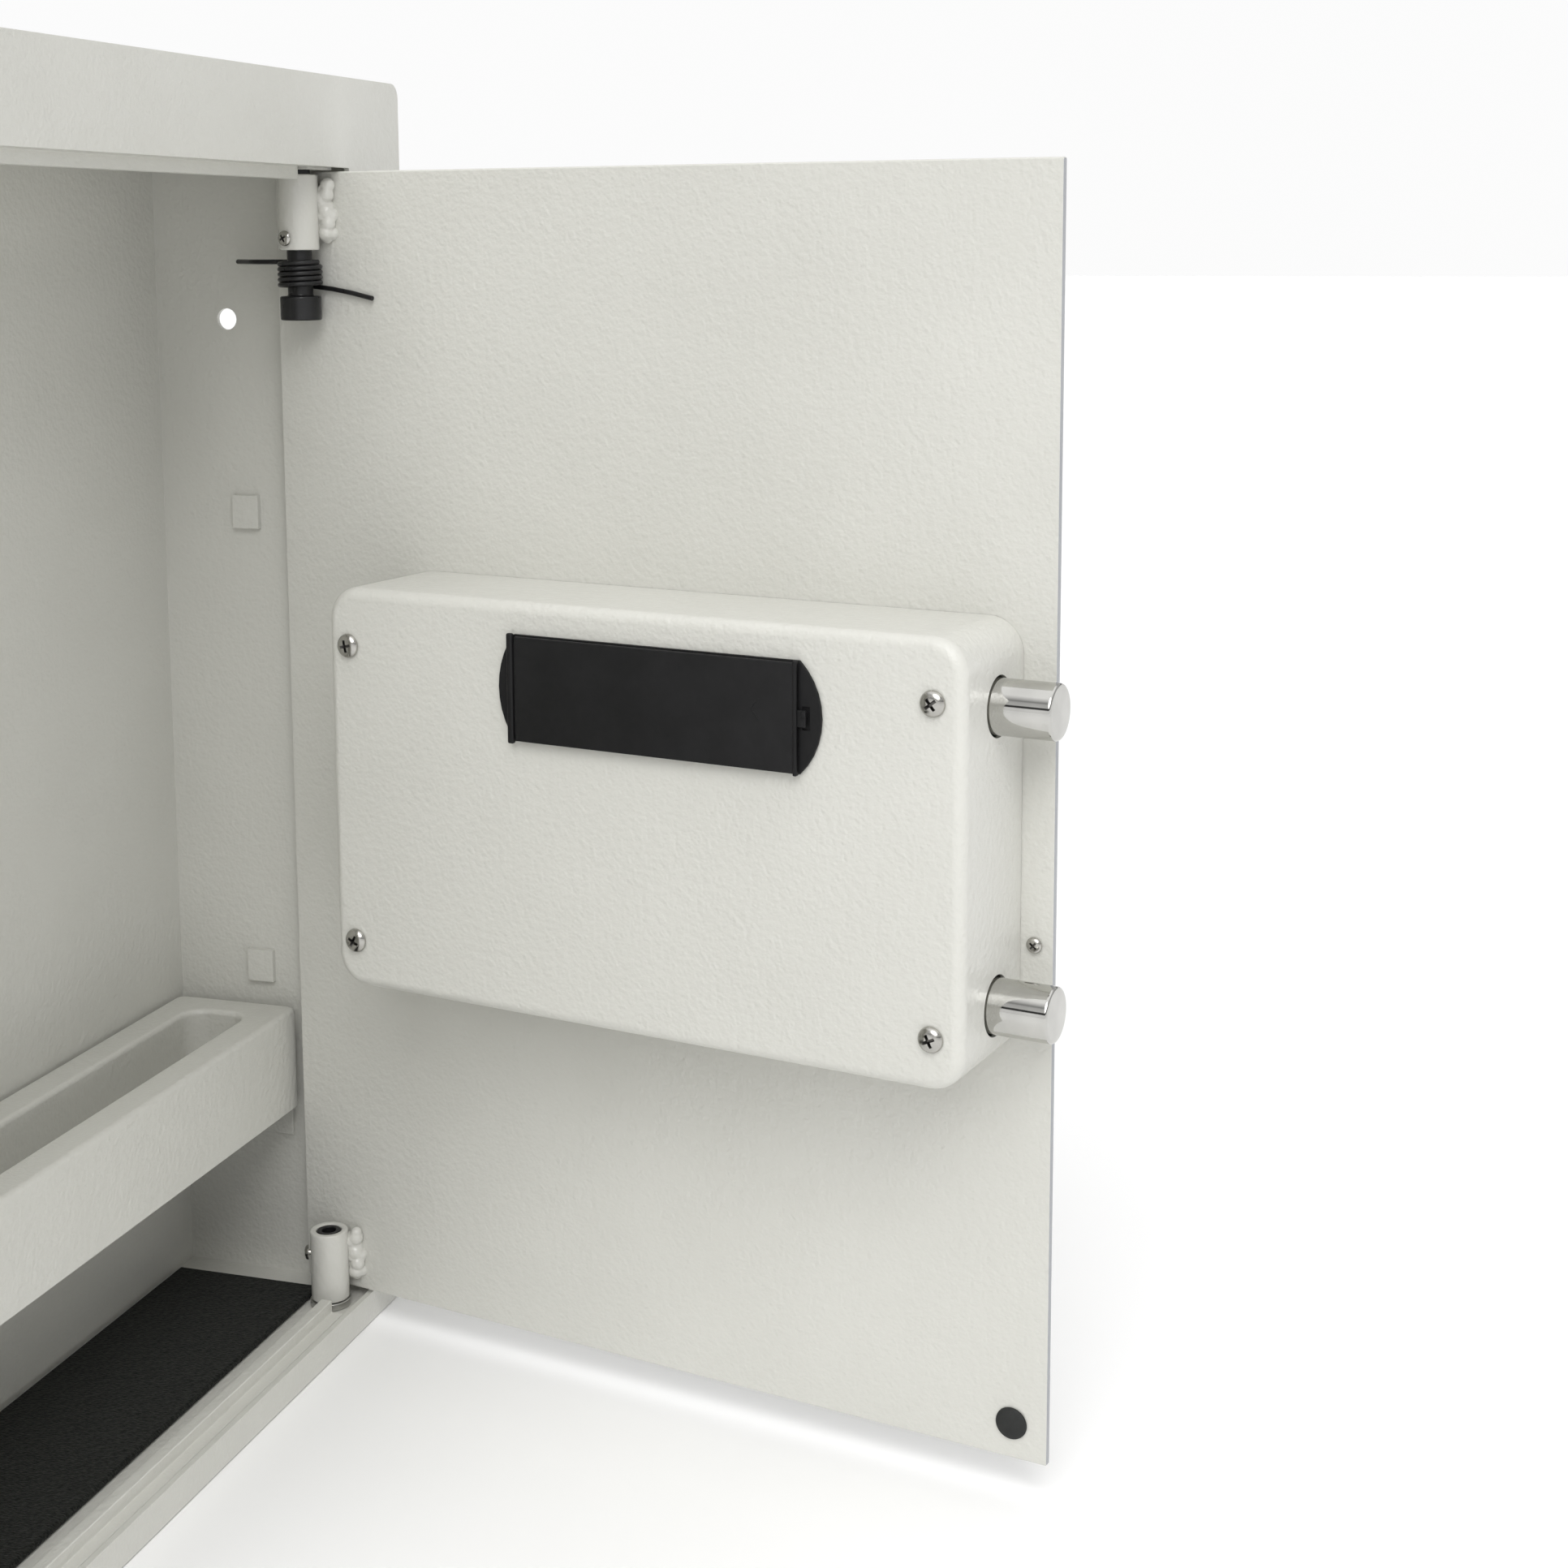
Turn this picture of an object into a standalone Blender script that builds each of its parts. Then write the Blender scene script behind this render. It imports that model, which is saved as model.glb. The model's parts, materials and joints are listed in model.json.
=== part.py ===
"""In-wall safe: a flanged steel cabinet for a stud bay, its door, and the electronic lock on the door.

Every piece is placed from the hinge datum, the point on the door's hinge axis that is level with the
door's lower edge. From there x runs to the right, y into the wall and z up, and the door's own pieces are
placed as if it were shut, on an empty that turns it open. The safe's origin is the middle of the
cabinet's back face.
"""
import math

import bmesh
import bpy
from mathutils import Vector

MM = 0.001
GAP = 0.3 * MM

# Door, as if shut
DOOR_W = 342 * MM
DOOR_H = 473 * MM
DOOR_T = 3.2 * MM
OPEN_ANGLE = math.radians(78.6)
EDGE_TO_AXIS = 19.4 * MM
BARREL_R = 8 * MM
BARREL_H = 30 * MM
PIN_R = 5 * MM
PIN_BORE_R = PIN_R + GAP
INNER_FACE = -9.3 * MM
OUTER_FACE = INNER_FACE - DOOR_T

# Front frame and its opening
FRAME_FRONT = -15.5 * MM
FRAME_T = 2.5 * MM
FRAME_BACK = FRAME_FRONT + FRAME_T
OPEN_RIGHT = 15 * MM
OPEN_LEFT = EDGE_TO_AXIS - DOOR_W - 2 * MM
OPEN_BOTTOM = -1.5 * MM
OPEN_TOP = DOOR_H + 1.5 * MM
FRAME_RIGHT = 61 * MM
FRAME_TOP = DOOR_H + 37.6 * MM
FRAME_BOTTOM = -14.2 * MM
FRAME_CORNER_R = 6 * MM

# Cabinet, outside sizes
SHEET = 2 * MM
CAB_RIGHT = 26.5 * MM
CAB_LEFT = -337 * MM
CAB_BOTTOM = -7 * MM
CAB_TOP = DOOR_H + 7 * MM
CAB_BACK = 83 * MM
CAB_MID_X = (CAB_LEFT + CAB_RIGHT) / 2
CAB_MID_Z = (CAB_BOTTOM + CAB_TOP) / 2
FRAME_LEFT = 2 * CAB_MID_X - FRAME_RIGHT
FLOOR = CAB_BOTTOM + SHEET
CEILING = CAB_TOP - SHEET
HINGE_DATUM = Vector((-CAB_MID_X, -CAB_BACK, -CAB_MID_Z))

# Stops round the opening
STOP_FACE = -7.5 * MM
STOP_RISE = 5 * MM
STOP_SHEET = 1.5 * MM
STOP_END = -13 * MM

# Shelf
SHELF_FRONT = 22.3 * MM
SHELF_TOP = 117 * MM
SHELF_HIGH = 42.4 * MM
SHELF_RIM = 15 * MM
SHELF_POCKET = 28 * MM
SHELF_CLEAR = 5.4 * MM
SHELF_SHEET = 1.2 * MM
TAB_TOPS = (141 * MM, 339 * MM)

# Lock cover: distances along the door from its hinge edge, up it, and in from its inner face
COVER_NEAR = 62.7 * MM
COVER_FAR = 329.5 * MM
COVER_LOW = 156.2 * MM
COVER_HIGH = 313.9 * MM
COVER_DEEP = 52 * MM
COVER_SHEET = 1.5 * MM
BRACKET_SHEET = 2 * MM
COVER_CORNER_R = 13 * MM
COVER_EDGE_R = 4.5 * MM
SCREW_NEAR = 73 * MM
SCREW_FAR = 318 * MM
SCREW_LOW = 175 * MM
SCREW_HIGH = 291.5 * MM

# Bolts, drive and blocking solenoid
BOLT_R = 10 * MM
BOLT_C = 22 * MM
BOLT_ZS = (179.6 * MM, 286.2 * MM)
BOLT_TIP = DOOR_W + 10 * MM
BOLT_TAIL = 275 * MM
BOLT_TRAVEL = 18 * MM
BAR_C = 8 * MM
BAR_T = 3 * MM
KNOB_A = 250 * MM
KNOB_Z = sum(BOLT_ZS) / 2
CRANK_R = BOLT_TRAVEL / 2 / math.sin(math.radians(45))
CRANK_PIN_R = 2.5 * MM
SOLENOID_A = 240 * MM
SOLENOID_C = BAR_C + BAR_T / 2
PLUNGER_R = 2.5 * MM
PLUNGER_REST_TIP = 212.5 * MM

# Battery holder
HOLDER_NEAR = 150.2 * MM
HOLDER_FAR = 268.4 * MM
HOLDER_LOW = 262.2 * MM
HOLDER_HIGH = 302.2 * MM
HOLDER_BACK = 33.5 * MM
CELL_R = 7.1 * MM
CELL_LONG = 50 * MM

# Keypad on the outside of the door
PAD_NEAR = 84 * MM
PAD_FAR = 286 * MM
PAD_LOW = 188 * MM
PAD_HIGH = 278 * MM
PAD_T = 13 * MM
PAD_WALL = 2 * MM
BUTTON = (13 * MM, 10.5 * MM)
BUTTON_PITCH = (18 * MM, 16.5 * MM)
BUTTON_A = 110 * MM
BUTTON_Z = 256 * MM
KEY_A = 200 * MM
KEY_Z = KNOB_Z


def collection(name):
    made = bpy.data.collections.new(name)
    bpy.context.scene.collection.children.link(made)
    return made


for old in list(bpy.data.objects):
    bpy.data.objects.remove(old)
parts = collection("wall_safe")
cutters = collection("cutters")


def material(name, colour, roughness, metallic=0.0):
    made = bpy.data.materials.new(name)
    made.use_nodes = True
    shader = made.node_tree.nodes["Principled BSDF"]
    shader.inputs["Base Color"].default_value = (*colour, 1)
    shader.inputs["Roughness"].default_value = roughness
    shader.inputs["Metallic"].default_value = metallic
    return made


PAINT = material("cream_powder_coat", (0.78, 0.77, 0.72), 0.45)
CHROME = material("chrome", (0.8, 0.8, 0.8), 0.12, 1.0)
STEEL = material("zinc_steel", (0.6, 0.6, 0.6), 0.35, 1.0)
BLACK_STEEL = material("black_oxide", (0.02, 0.02, 0.022), 0.4, 0.6)
BLACK_PLASTIC = material("black_plastic", (0.015, 0.015, 0.017), 0.5)
GREY_PLASTIC = material("button_grey", (0.5, 0.51, 0.52), 0.45)
RUBBER = material("black_rubber", (0.02, 0.02, 0.02), 0.8)
FELT = material("grey_felt", (0.03, 0.032, 0.03), 0.95)
LENS = material("indicator_lens", (0.3, 0.02, 0.02), 0.15)
BOARD = material("circuit_board", (0.02, 0.12, 0.05), 0.5)
COPPER = material("coil_tape", (0.45, 0.2, 0.05), 0.4)
CELL = material("cell_jacket", (0.1, 0.11, 0.12), 0.35)


def empty(name, parent, location=(0, 0, 0), angle=0.0):
    made = bpy.data.objects.new(name, None)
    made.parent = parent
    made.location = location
    made.rotation_euler.z = angle
    parts.objects.link(made)
    return made


datum = empty("hinge_datum", None, HINGE_DATUM)
door_axis = empty("door_axis", datum, angle=OPEN_ANGLE)


def on_door(a, c, z):
    """A point on the door: a along it from its hinge edge, c in from its inner face, z up it."""
    return Vector((EDGE_TO_AXIS - a, INNER_FACE + c, z))


def add(name, mesh, look, parent, location=(0, 0, 0), towards=None, group=None):
    made = bpy.data.objects.new(name, mesh)
    made.parent = parent
    made.location = location
    if towards is not None:
        made.rotation_mode = "QUATERNION"
        made.rotation_quaternion = Vector((0, 0, 1)).rotation_difference(Vector(towards))
    if group is cutters:
        made.hide_render = True
        made.display_type = "WIRE"
    elif look:
        mesh.materials.clear()
        mesh.materials.append(look)
    (group or parts).objects.link(made)
    return made


def smooth(mesh):
    mesh.shade_smooth()
    mesh.set_sharp_from_angle(angle=math.radians(35))


def to_mesh(shape, name):
    mesh = bpy.data.meshes.new(name)
    shape.to_mesh(mesh)
    shape.free()
    return mesh


def bevel(made, width, segments=1, angle=40):
    rounding = made.modifiers.new("rounding", "BEVEL")
    rounding.width = width
    rounding.segments = segments
    rounding.limit_method = "ANGLE"
    rounding.angle_limit = math.radians(angle)


def box(name, lo, hi, look, parent, edge=0.0, group=None, location=None):
    """A box between two corners, with its origin in its middle or at a stated place."""
    lo, hi = (Vector(map(min, lo, hi)), Vector(map(max, lo, hi)))
    origin = (lo + hi) / 2 if location is None else Vector(location)
    shape = bmesh.new()
    bmesh.ops.create_cube(shape, size=1)
    bmesh.ops.scale(shape, vec=hi - lo, verts=shape.verts)
    bmesh.ops.translate(shape, vec=(lo + hi) / 2 - origin, verts=shape.verts)
    made = add(name, to_mesh(shape, name), look, parent, origin, group=group)
    if edge:
        bevel(made, edge)
    return made


def rod(name, radius, start, end, look, parent, sides=32, group=None, edge=0.0):
    """A cylinder between two points, with its origin halfway along its axis."""
    start, end = Vector(start), Vector(end)
    shape = bmesh.new()
    length = (end - start).length
    bmesh.ops.create_cone(
        shape, cap_ends=True, segments=sides, radius1=radius, radius2=radius, depth=length
    )
    mesh = to_mesh(shape, name)
    smooth(mesh)
    made = add(name, mesh, look, parent, (start + end) / 2, end - start, group)
    if edge:
        bevel(made, edge)
    return made


def turned(name, profile, look, parent, location, towards=(0, 0, 1), steps=32, closed=False):
    """A profile of (radius, height) points, top to bottom down its outer side, turned about its axis."""
    mesh = bpy.data.meshes.new(name)
    edges = [(i, i + 1) for i in range(len(profile) - 1)]
    if closed:
        edges.append((len(profile) - 1, 0))
    mesh.from_pydata([(r, 0, z) for r, z in profile], edges, [])
    made = add(name, mesh, look, parent, location, towards)
    turn = made.modifiers.new("turn", "SCREW")
    turn.steps = steps
    turn.render_steps = steps
    turn.use_merge_vertices = True
    turn.merge_threshold = 0.00001
    turn.use_smooth_shade = False
    return made


def ring(name, outer, inner, low, high, look, parent, location, towards=(0, 0, 1), steps=32):
    profile = [(outer, high), (outer, low), (inner, low), (inner, high)]
    return turned(name, profile, look, parent, location, towards, steps, closed=True)


def combine(made, other, operation="DIFFERENCE"):
    step = made.modifiers.new(operation.lower(), "BOOLEAN")
    step.operation = operation
    step.object = other
    step.solver = "EXACT"


def cut_box(made, lo, hi, parent):
    combine(made, box(made.name + "_cut", lo, hi, None, parent, group=cutters))


def cut_rod(made, radius, start, end, parent, sides=24):
    combine(made, rod(made.name + "_bore", radius, start, end, None, parent, sides, cutters))


def join_box(made, lo, hi, parent):
    combine(made, box(made.name + "_add", lo, hi, None, parent, group=cutters), "UNION")


def folded(name, path, thickness, start, end, look, parent, along):
    """A folded sheet: a path of points run from start to end along one axis, thickened to its inside."""
    spots = [Vector(p) for p in path]
    shape = bmesh.new()
    verts = [shape.verts.new(p + along * start) for p in spots]
    edges = [shape.edges.new(pair) for pair in zip(verts, verts[1:])]
    run = bmesh.ops.extrude_edge_only(shape, edges=edges)["geom"]
    moved = [v for v in run if isinstance(v, bmesh.types.BMVert)]
    bmesh.ops.translate(shape, vec=along * (end - start), verts=moved)
    made = add(name, to_mesh(shape, name), look, parent)
    shell = made.modifiers.new("sheet", "SOLIDIFY")
    shell.thickness = thickness
    shell.offset = -1
    shell.use_even_offset = True
    return made


def plate(name, splines, thickness, look, parent, location, turn):
    """A flat piece cut to an outline, with any holes as further outlines, as one welded mesh."""
    curve = bpy.data.curves.new(name, "CURVE")
    curve.dimensions = "2D"
    curve.fill_mode = "BOTH"
    curve.extrude = thickness / 2
    for points in splines:
        line = curve.splines.new("POLY")
        line.points.add(len(points) - 1)
        line.use_cyclic_u = True
        for spot, (x, y) in zip(line.points, points):
            spot.co = (x, y, 0, 1)
    flat = bpy.data.objects.new(name + "_outline", curve)
    flat.location = location
    flat.rotation_euler = turn
    flat.parent = parent
    cutters.objects.link(flat)
    bpy.context.view_layer.update()
    mesh = bpy.data.meshes.new_from_object(flat.evaluated_get(bpy.context.evaluated_depsgraph_get()))
    shape = bmesh.new()
    shape.from_mesh(mesh)
    bmesh.ops.remove_doubles(shape, verts=shape.verts, dist=0.00001)
    made = add(name, to_mesh(shape, name), look, parent, location)
    made.rotation_euler = turn
    bpy.data.objects.remove(flat)
    return made


def arc(x, y, radius, start, end, steps=6):
    """Points on an arc, from one angle to another in degrees."""
    turns = [math.radians(start + (end - start) * i / steps) for i in range(steps + 1)]
    return [(x + radius * math.cos(t), y + radius * math.sin(t)) for t in turns]


def rounded(lo, hi, radius, steps=4):
    """The outline of a rectangle with round corners."""
    return (
        arc(hi[0] - radius, hi[1] - radius, radius, 0, 90, steps)
        + arc(lo[0] + radius, hi[1] - radius, radius, 90, 180, steps)
        + arc(lo[0] + radius, lo[1] + radius, radius, 180, 270, steps)
        + arc(hi[0] - radius, lo[1] + radius, radius, 270, 360, steps)
    )


def screw(name, at, towards, parent, head_r, head_h, shank_r, shank_long, look=STEEL):
    """A pan head screw with a cross recess; its origin is under the head."""
    profile = [
        (0, head_h),
        (head_r * 0.7, head_h * 0.8),
        (head_r, head_h * 0.25),
        (head_r, 0),
        (shank_r, 0),
        (shank_r, -shank_long),
        (0, -shank_long),
    ]
    made = turned(name, profile, look, parent, at, towards, 14)
    reach = head_r * 0.62
    slot = head_r * 0.13
    for x, y in ((reach, slot), (slot, reach)):
        cross = box(
            name + "_recess", (-x, -y, head_h * 0.35), (x, y, head_h * 1.5), None, made, group=cutters
        )
        combine(made, cross)
    return made


# Cabinet


def cabinet_shell():
    shape = bmesh.new()
    bmesh.ops.create_cube(shape, size=1)
    front = [f for f in shape.faces if f.normal.y < -0.5]
    bmesh.ops.delete(shape, geom=front, context="FACES")
    lo = Vector((CAB_LEFT, FRAME_BACK + GAP, CAB_BOTTOM))
    hi = Vector((CAB_RIGHT, CAB_BACK, CAB_TOP))
    bmesh.ops.scale(shape, vec=hi - lo, verts=shape.verts)
    made = add("cabinet_shell", to_mesh(shape, "cabinet_shell"), PAINT, datum, (lo + hi) / 2)
    shell = made.modifiers.new("sheet", "SOLIDIFY")
    shell.thickness = SHEET
    shell.offset = -1
    shell.use_even_offset = True
    inner_right = CAB_RIGHT - SHEET
    inner_left = CAB_LEFT + SHEET
    tab_y = (35 * MM, 47 * MM)
    for top in TAB_TOPS:
        for inside, way in ((inner_right, -1), (inner_left, 1)):
            low = (inside - way * 1 * MM, tab_y[0], top - 14 * MM)
            join_box(made, low, (inside + way * 2.5 * MM, tab_y[1], top), datum)
    boss_x = 10 * MM
    boss = (Vector((-boss_x, -boss_x, DOOR_H + 0.5 * MM)), Vector((boss_x, boss_x, CEILING + 1 * MM)))
    join_box(made, *boss, datum)
    cut_rod(made, PIN_BORE_R, (0, 0, CAB_BOTTOM - 5 * MM), (0, 0, CAB_TOP + 5 * MM), datum)
    for z in (60 * MM, 413 * MM):
        for side in (CAB_LEFT, CAB_RIGHT):
            cut_rod(made, 4.5 * MM, (side - 5 * MM, 48 * MM, z), (side + 5 * MM, 48 * MM, z), datum, 20)


def front_frame():
    outer = rounded((FRAME_LEFT, FRAME_BOTTOM), (FRAME_RIGHT, FRAME_TOP), FRAME_CORNER_R, 6)
    inner = rounded((OPEN_LEFT, OPEN_BOTTOM), (OPEN_RIGHT, OPEN_TOP), 1 * MM, 2)
    middle = (0, FRAME_FRONT + FRAME_T / 2, 0)
    made = plate("front_frame", (outer, inner), FRAME_T, PAINT, datum, middle, (math.pi / 2, 0, 0))
    bevel(made, 0.8 * MM)


def stops():
    front = FRAME_BACK + GAP
    face = STOP_FACE
    back = STOP_FACE + STOP_RISE
    x_axis = Vector((1, 0, 0))
    z_axis = Vector((0, 0, 1))
    inner_left = CAB_LEFT + SHEET + GAP
    stop_x = OPEN_LEFT + STOP_RISE
    for name, base, edge, way in (
        ("stop_bottom", FLOOR + GAP, OPEN_BOTTOM, 1),
        ("stop_top", CEILING - GAP, OPEN_TOP, -1),
    ):
        rise = edge + way * STOP_RISE
        path = [(0, front, base), (0, front, edge), (0, face, edge)]
        path += [(0, face, rise), (0, back, rise), (0, back, base)]
        if way < 0:
            path.reverse()
        folded(name, path, STOP_SHEET, stop_x + GAP, STOP_END, PAINT, datum, x_axis)
    back = 2.2 * MM
    path = [(inner_left, back, 0), (stop_x, back, 0), (stop_x, face, 0)]
    path += [(OPEN_LEFT, face, 0), (OPEN_LEFT, front, 0), (inner_left, front, 0)]
    folded("stop_left", path, STOP_SHEET, FLOOR + GAP, CEILING - GAP, PAINT, datum, z_axis)


def shelf():
    """A tray with a wide rim: a skirt, the rim, and a pocket with round corners."""
    lo = Vector((CAB_LEFT + SHEET + SHELF_CLEAR, SHELF_FRONT, SHELF_TOP - SHELF_HIGH))
    hi = Vector((CAB_RIGHT - SHEET - SHELF_CLEAR, CAB_BACK - SHEET - 1.5 * MM, SHELF_TOP))
    shape = bmesh.new()
    bmesh.ops.create_cube(shape, size=1)
    bmesh.ops.scale(shape, vec=hi - lo, verts=shape.verts)
    bmesh.ops.delete(shape, geom=[f for f in shape.faces if f.normal.z < -0.5], context="FACES")
    top = max(shape.faces, key=lambda f: f.normal.z)
    bmesh.ops.inset_region(shape, faces=[top], thickness=SHELF_RIM, use_even_offset=True)
    pocket = bmesh.ops.extrude_face_region(shape, geom=[top])["geom"]
    bmesh.ops.delete(shape, geom=[top], context="FACES_ONLY")
    sunk = [v for v in pocket if isinstance(v, bmesh.types.BMVert)]
    bmesh.ops.translate(shape, vec=(0, 0, -SHELF_POCKET), verts=sunk)
    for radius, high in ((3 * MM, SHELF_HIGH), (9 * MM, SHELF_POCKET)):
        upright = [e for e in shape.edges if abs(abs(e.verts[0].co.z - e.verts[1].co.z) - high) < 1e-6]
        bmesh.ops.bevel(shape, geom=upright, offset=radius, segments=3, profile=0.5, affect="EDGES")
    bmesh.ops.recalc_face_normals(shape, faces=shape.faces)
    rim = max(shape.faces, key=lambda f: f.calc_center_median().z)
    if rim.normal.z < 0:
        bmesh.ops.reverse_faces(shape, faces=shape.faces)
    rim_edges = [e for e in shape.edges if e.calc_face_angle(0) > 1 and min(v.co.z for v in e.verts) > 0]
    bmesh.ops.bevel(shape, geom=rim_edges, offset=2 * MM, segments=2, profile=0.5, affect="EDGES")
    made = add("shelf", to_mesh(shape, "shelf"), PAINT, datum, (lo + hi) / 2)
    shell = made.modifiers.new("sheet", "SOLIDIFY")
    shell.thickness = SHELF_SHEET
    shell.offset = -1
    shell.use_even_offset = True
    rail_top = lo.z - GAP
    for name, wall, way in (
        ("shelf_rail_right", CAB_RIGHT - SHEET - GAP, -1),
        ("shelf_rail_left", CAB_LEFT + SHEET + GAP, 1),
    ):
        path = [(wall, 0, rail_top - 16 * MM), (wall, 0, rail_top), (wall + way * 14 * MM, 0, rail_top)]
        if way > 0:
            path.reverse()
        folded(name, path, STOP_SHEET, 28 * MM, 78 * MM, PAINT, datum, Vector((0, 1, 0)))


def cabinet():
    cabinet_shell()
    front_frame()
    stops()
    shelf()
    mat_lo = (CAB_LEFT + 8 * MM, 10 * MM, FLOOR + GAP)
    box("floor_mat", mat_lo, (9 * MM, CAB_BACK - 5 * MM, FLOOR + 3 * MM), FELT, datum, 1 * MM)
    washer_low = FLOOR + GAP
    washer_high = OPEN_BOTTOM - GAP
    ring("hinge_washer", 8.5 * MM, PIN_BORE_R, washer_low, washer_high, STEEL, datum, (0, 0, 0))


# Door plate and hinges


def door_plate():
    lo = on_door(0, -DOOR_T, 0)
    made = box("door_plate", lo, on_door(DOOR_W, 0, DOOR_H), PAINT, door_axis)
    holes = ((KNOB_A, KNOB_Z, 4.6 * MM), (KEY_A, KEY_Z, 8.3 * MM), (140 * MM, 262 * MM, 5 * MM))
    for a, z, radius in holes:
        cut_rod(made, radius, on_door(a, -10 * MM, z), on_door(a, 10 * MM, z), door_axis)
    bevel(made, 0.5 * MM)


def barrel(name, low, weld_low, weld_high):
    made = ring(name, BARREL_R, PIN_BORE_R, 0, BARREL_H, PAINT, door_axis, (0, 0, low))
    weld_lo = (-12 * MM, INNER_FACE + GAP, weld_low)
    join_box(made, weld_lo, (-4 * MM, INNER_FACE + 3.5 * MM, weld_high), door_axis)
    return made


def hinges():
    top_low = DOOR_H - 1.3 * MM - BARREL_H
    top = barrel("hinge_barrel_top", top_low, top_low + 3 * MM, top_low + 25 * MM)
    bottom = barrel("hinge_barrel_bottom", OPEN_BOTTOM, 6 * MM, 27 * MM)
    head_high = 423.4 * MM
    head_low = 413.7 * MM
    profile = [(0, CAB_TOP), (PIN_R, CAB_TOP), (PIN_R, 426.4 * MM), (5.8 * MM, 426.4 * MM)]
    profile += [(5.8 * MM, head_high), (8.2 * MM, head_high), (8.2 * MM, head_low + 1 * MM)]
    profile += [(7.2 * MM, head_low), (0, head_low)]
    turned("hinge_pin_top", profile, BLACK_STEEL, door_axis, (0, 0, 0))
    pin_top = OPEN_BOTTOM + BARREL_H - 0.3 * MM
    profile = [(0, pin_top - 4 * MM), (3 * MM, pin_top - 4 * MM), (3 * MM, pin_top)]
    profile += [(PIN_R, pin_top), (PIN_R, CAB_BOTTOM), (0, CAB_BOTTOM)]
    turned("hinge_pin_bottom", profile, BLACK_STEEL, door_axis, (0, 0, 0))
    for name, host, z, turn in (
        ("hinge_set_screw_top", top, 446.4 * MM, 90),
        ("hinge_set_screw_bottom", bottom, 19 * MM, 39),
    ):
        way = Vector((math.cos(math.radians(turn)), math.sin(math.radians(turn)), 0))
        foot = Vector((0, 0, z)) + way * (BARREL_R + GAP)
        screw(name, foot, way, door_axis, 3.1 * MM, 2.2 * MM, 1.7 * MM, 2.6 * MM)
        start = Vector((0, 0, z)) + way * 2 * MM
        cut_rod(host, 2.0 * MM, start, Vector((0, 0, z)) + way * 12 * MM, door_axis, 16)


def torsion_spring():
    """A close coil round the top pin: one leg along the door's inner face, one along the side wall."""
    radius = 8 * MM
    low = 427.6 * MM
    pitch = 2.12 * MM
    steps = 14
    door_side = math.radians(-90)
    wall_side = -OPEN_ANGLE
    total = 5 * 2 * math.pi + wall_side - door_side - 2 * math.pi
    count = round(total / (2 * math.pi) * steps)
    points = [Vector((-d * MM, -radius, low - d * 0.15 * MM)) for d in (30, 20, 10)]
    for i in range(count + 1):
        t = door_side + total * i / count
        height = low + pitch * total / (2 * math.pi) * i / count
        points.append(Vector((radius * math.cos(t), radius * math.sin(t), height)))
    way = Vector((-math.sin(wall_side), math.cos(wall_side), 0))
    points += [points[-1] + way * d * MM for d in (8, 21)]
    points.append(points[-1] + (way + Vector((-way.y, way.x, 0)) * -0.7) * 16 * MM)
    curve = bpy.data.curves.new("torsion_spring", "CURVE")
    curve.dimensions = "3D"
    curve.bevel_depth = 1 * MM
    curve.bevel_resolution = 2
    curve.use_fill_caps = True
    line = curve.splines.new("POLY")
    line.points.add(len(points) - 1)
    for spot, place in zip(line.points, points):
        spot.co = (*place, 1)
    curve.materials.append(BLACK_STEEL)
    made = bpy.data.objects.new("torsion_spring", curve)
    made.parent = door_axis
    parts.objects.link(made)


def door():
    door_plate()
    hinges()
    torsion_spring()
    foot = on_door(335 * MM, GAP, 196.3 * MM)
    screw("door_screw", foot, (0, 1, 0), door_axis, 3 * MM, 2 * MM, 1 * MM, 0.1 * MM)
    start = on_door(328.2 * MM, GAP, 13.8 * MM)
    end = start + Vector((0, 1.2 * MM, 0))
    rod("door_bumper", 6.1 * MM, start, end, RUBBER, door_axis, 24, edge=0.4 * MM)


# Lock cover and what it holds


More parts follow.
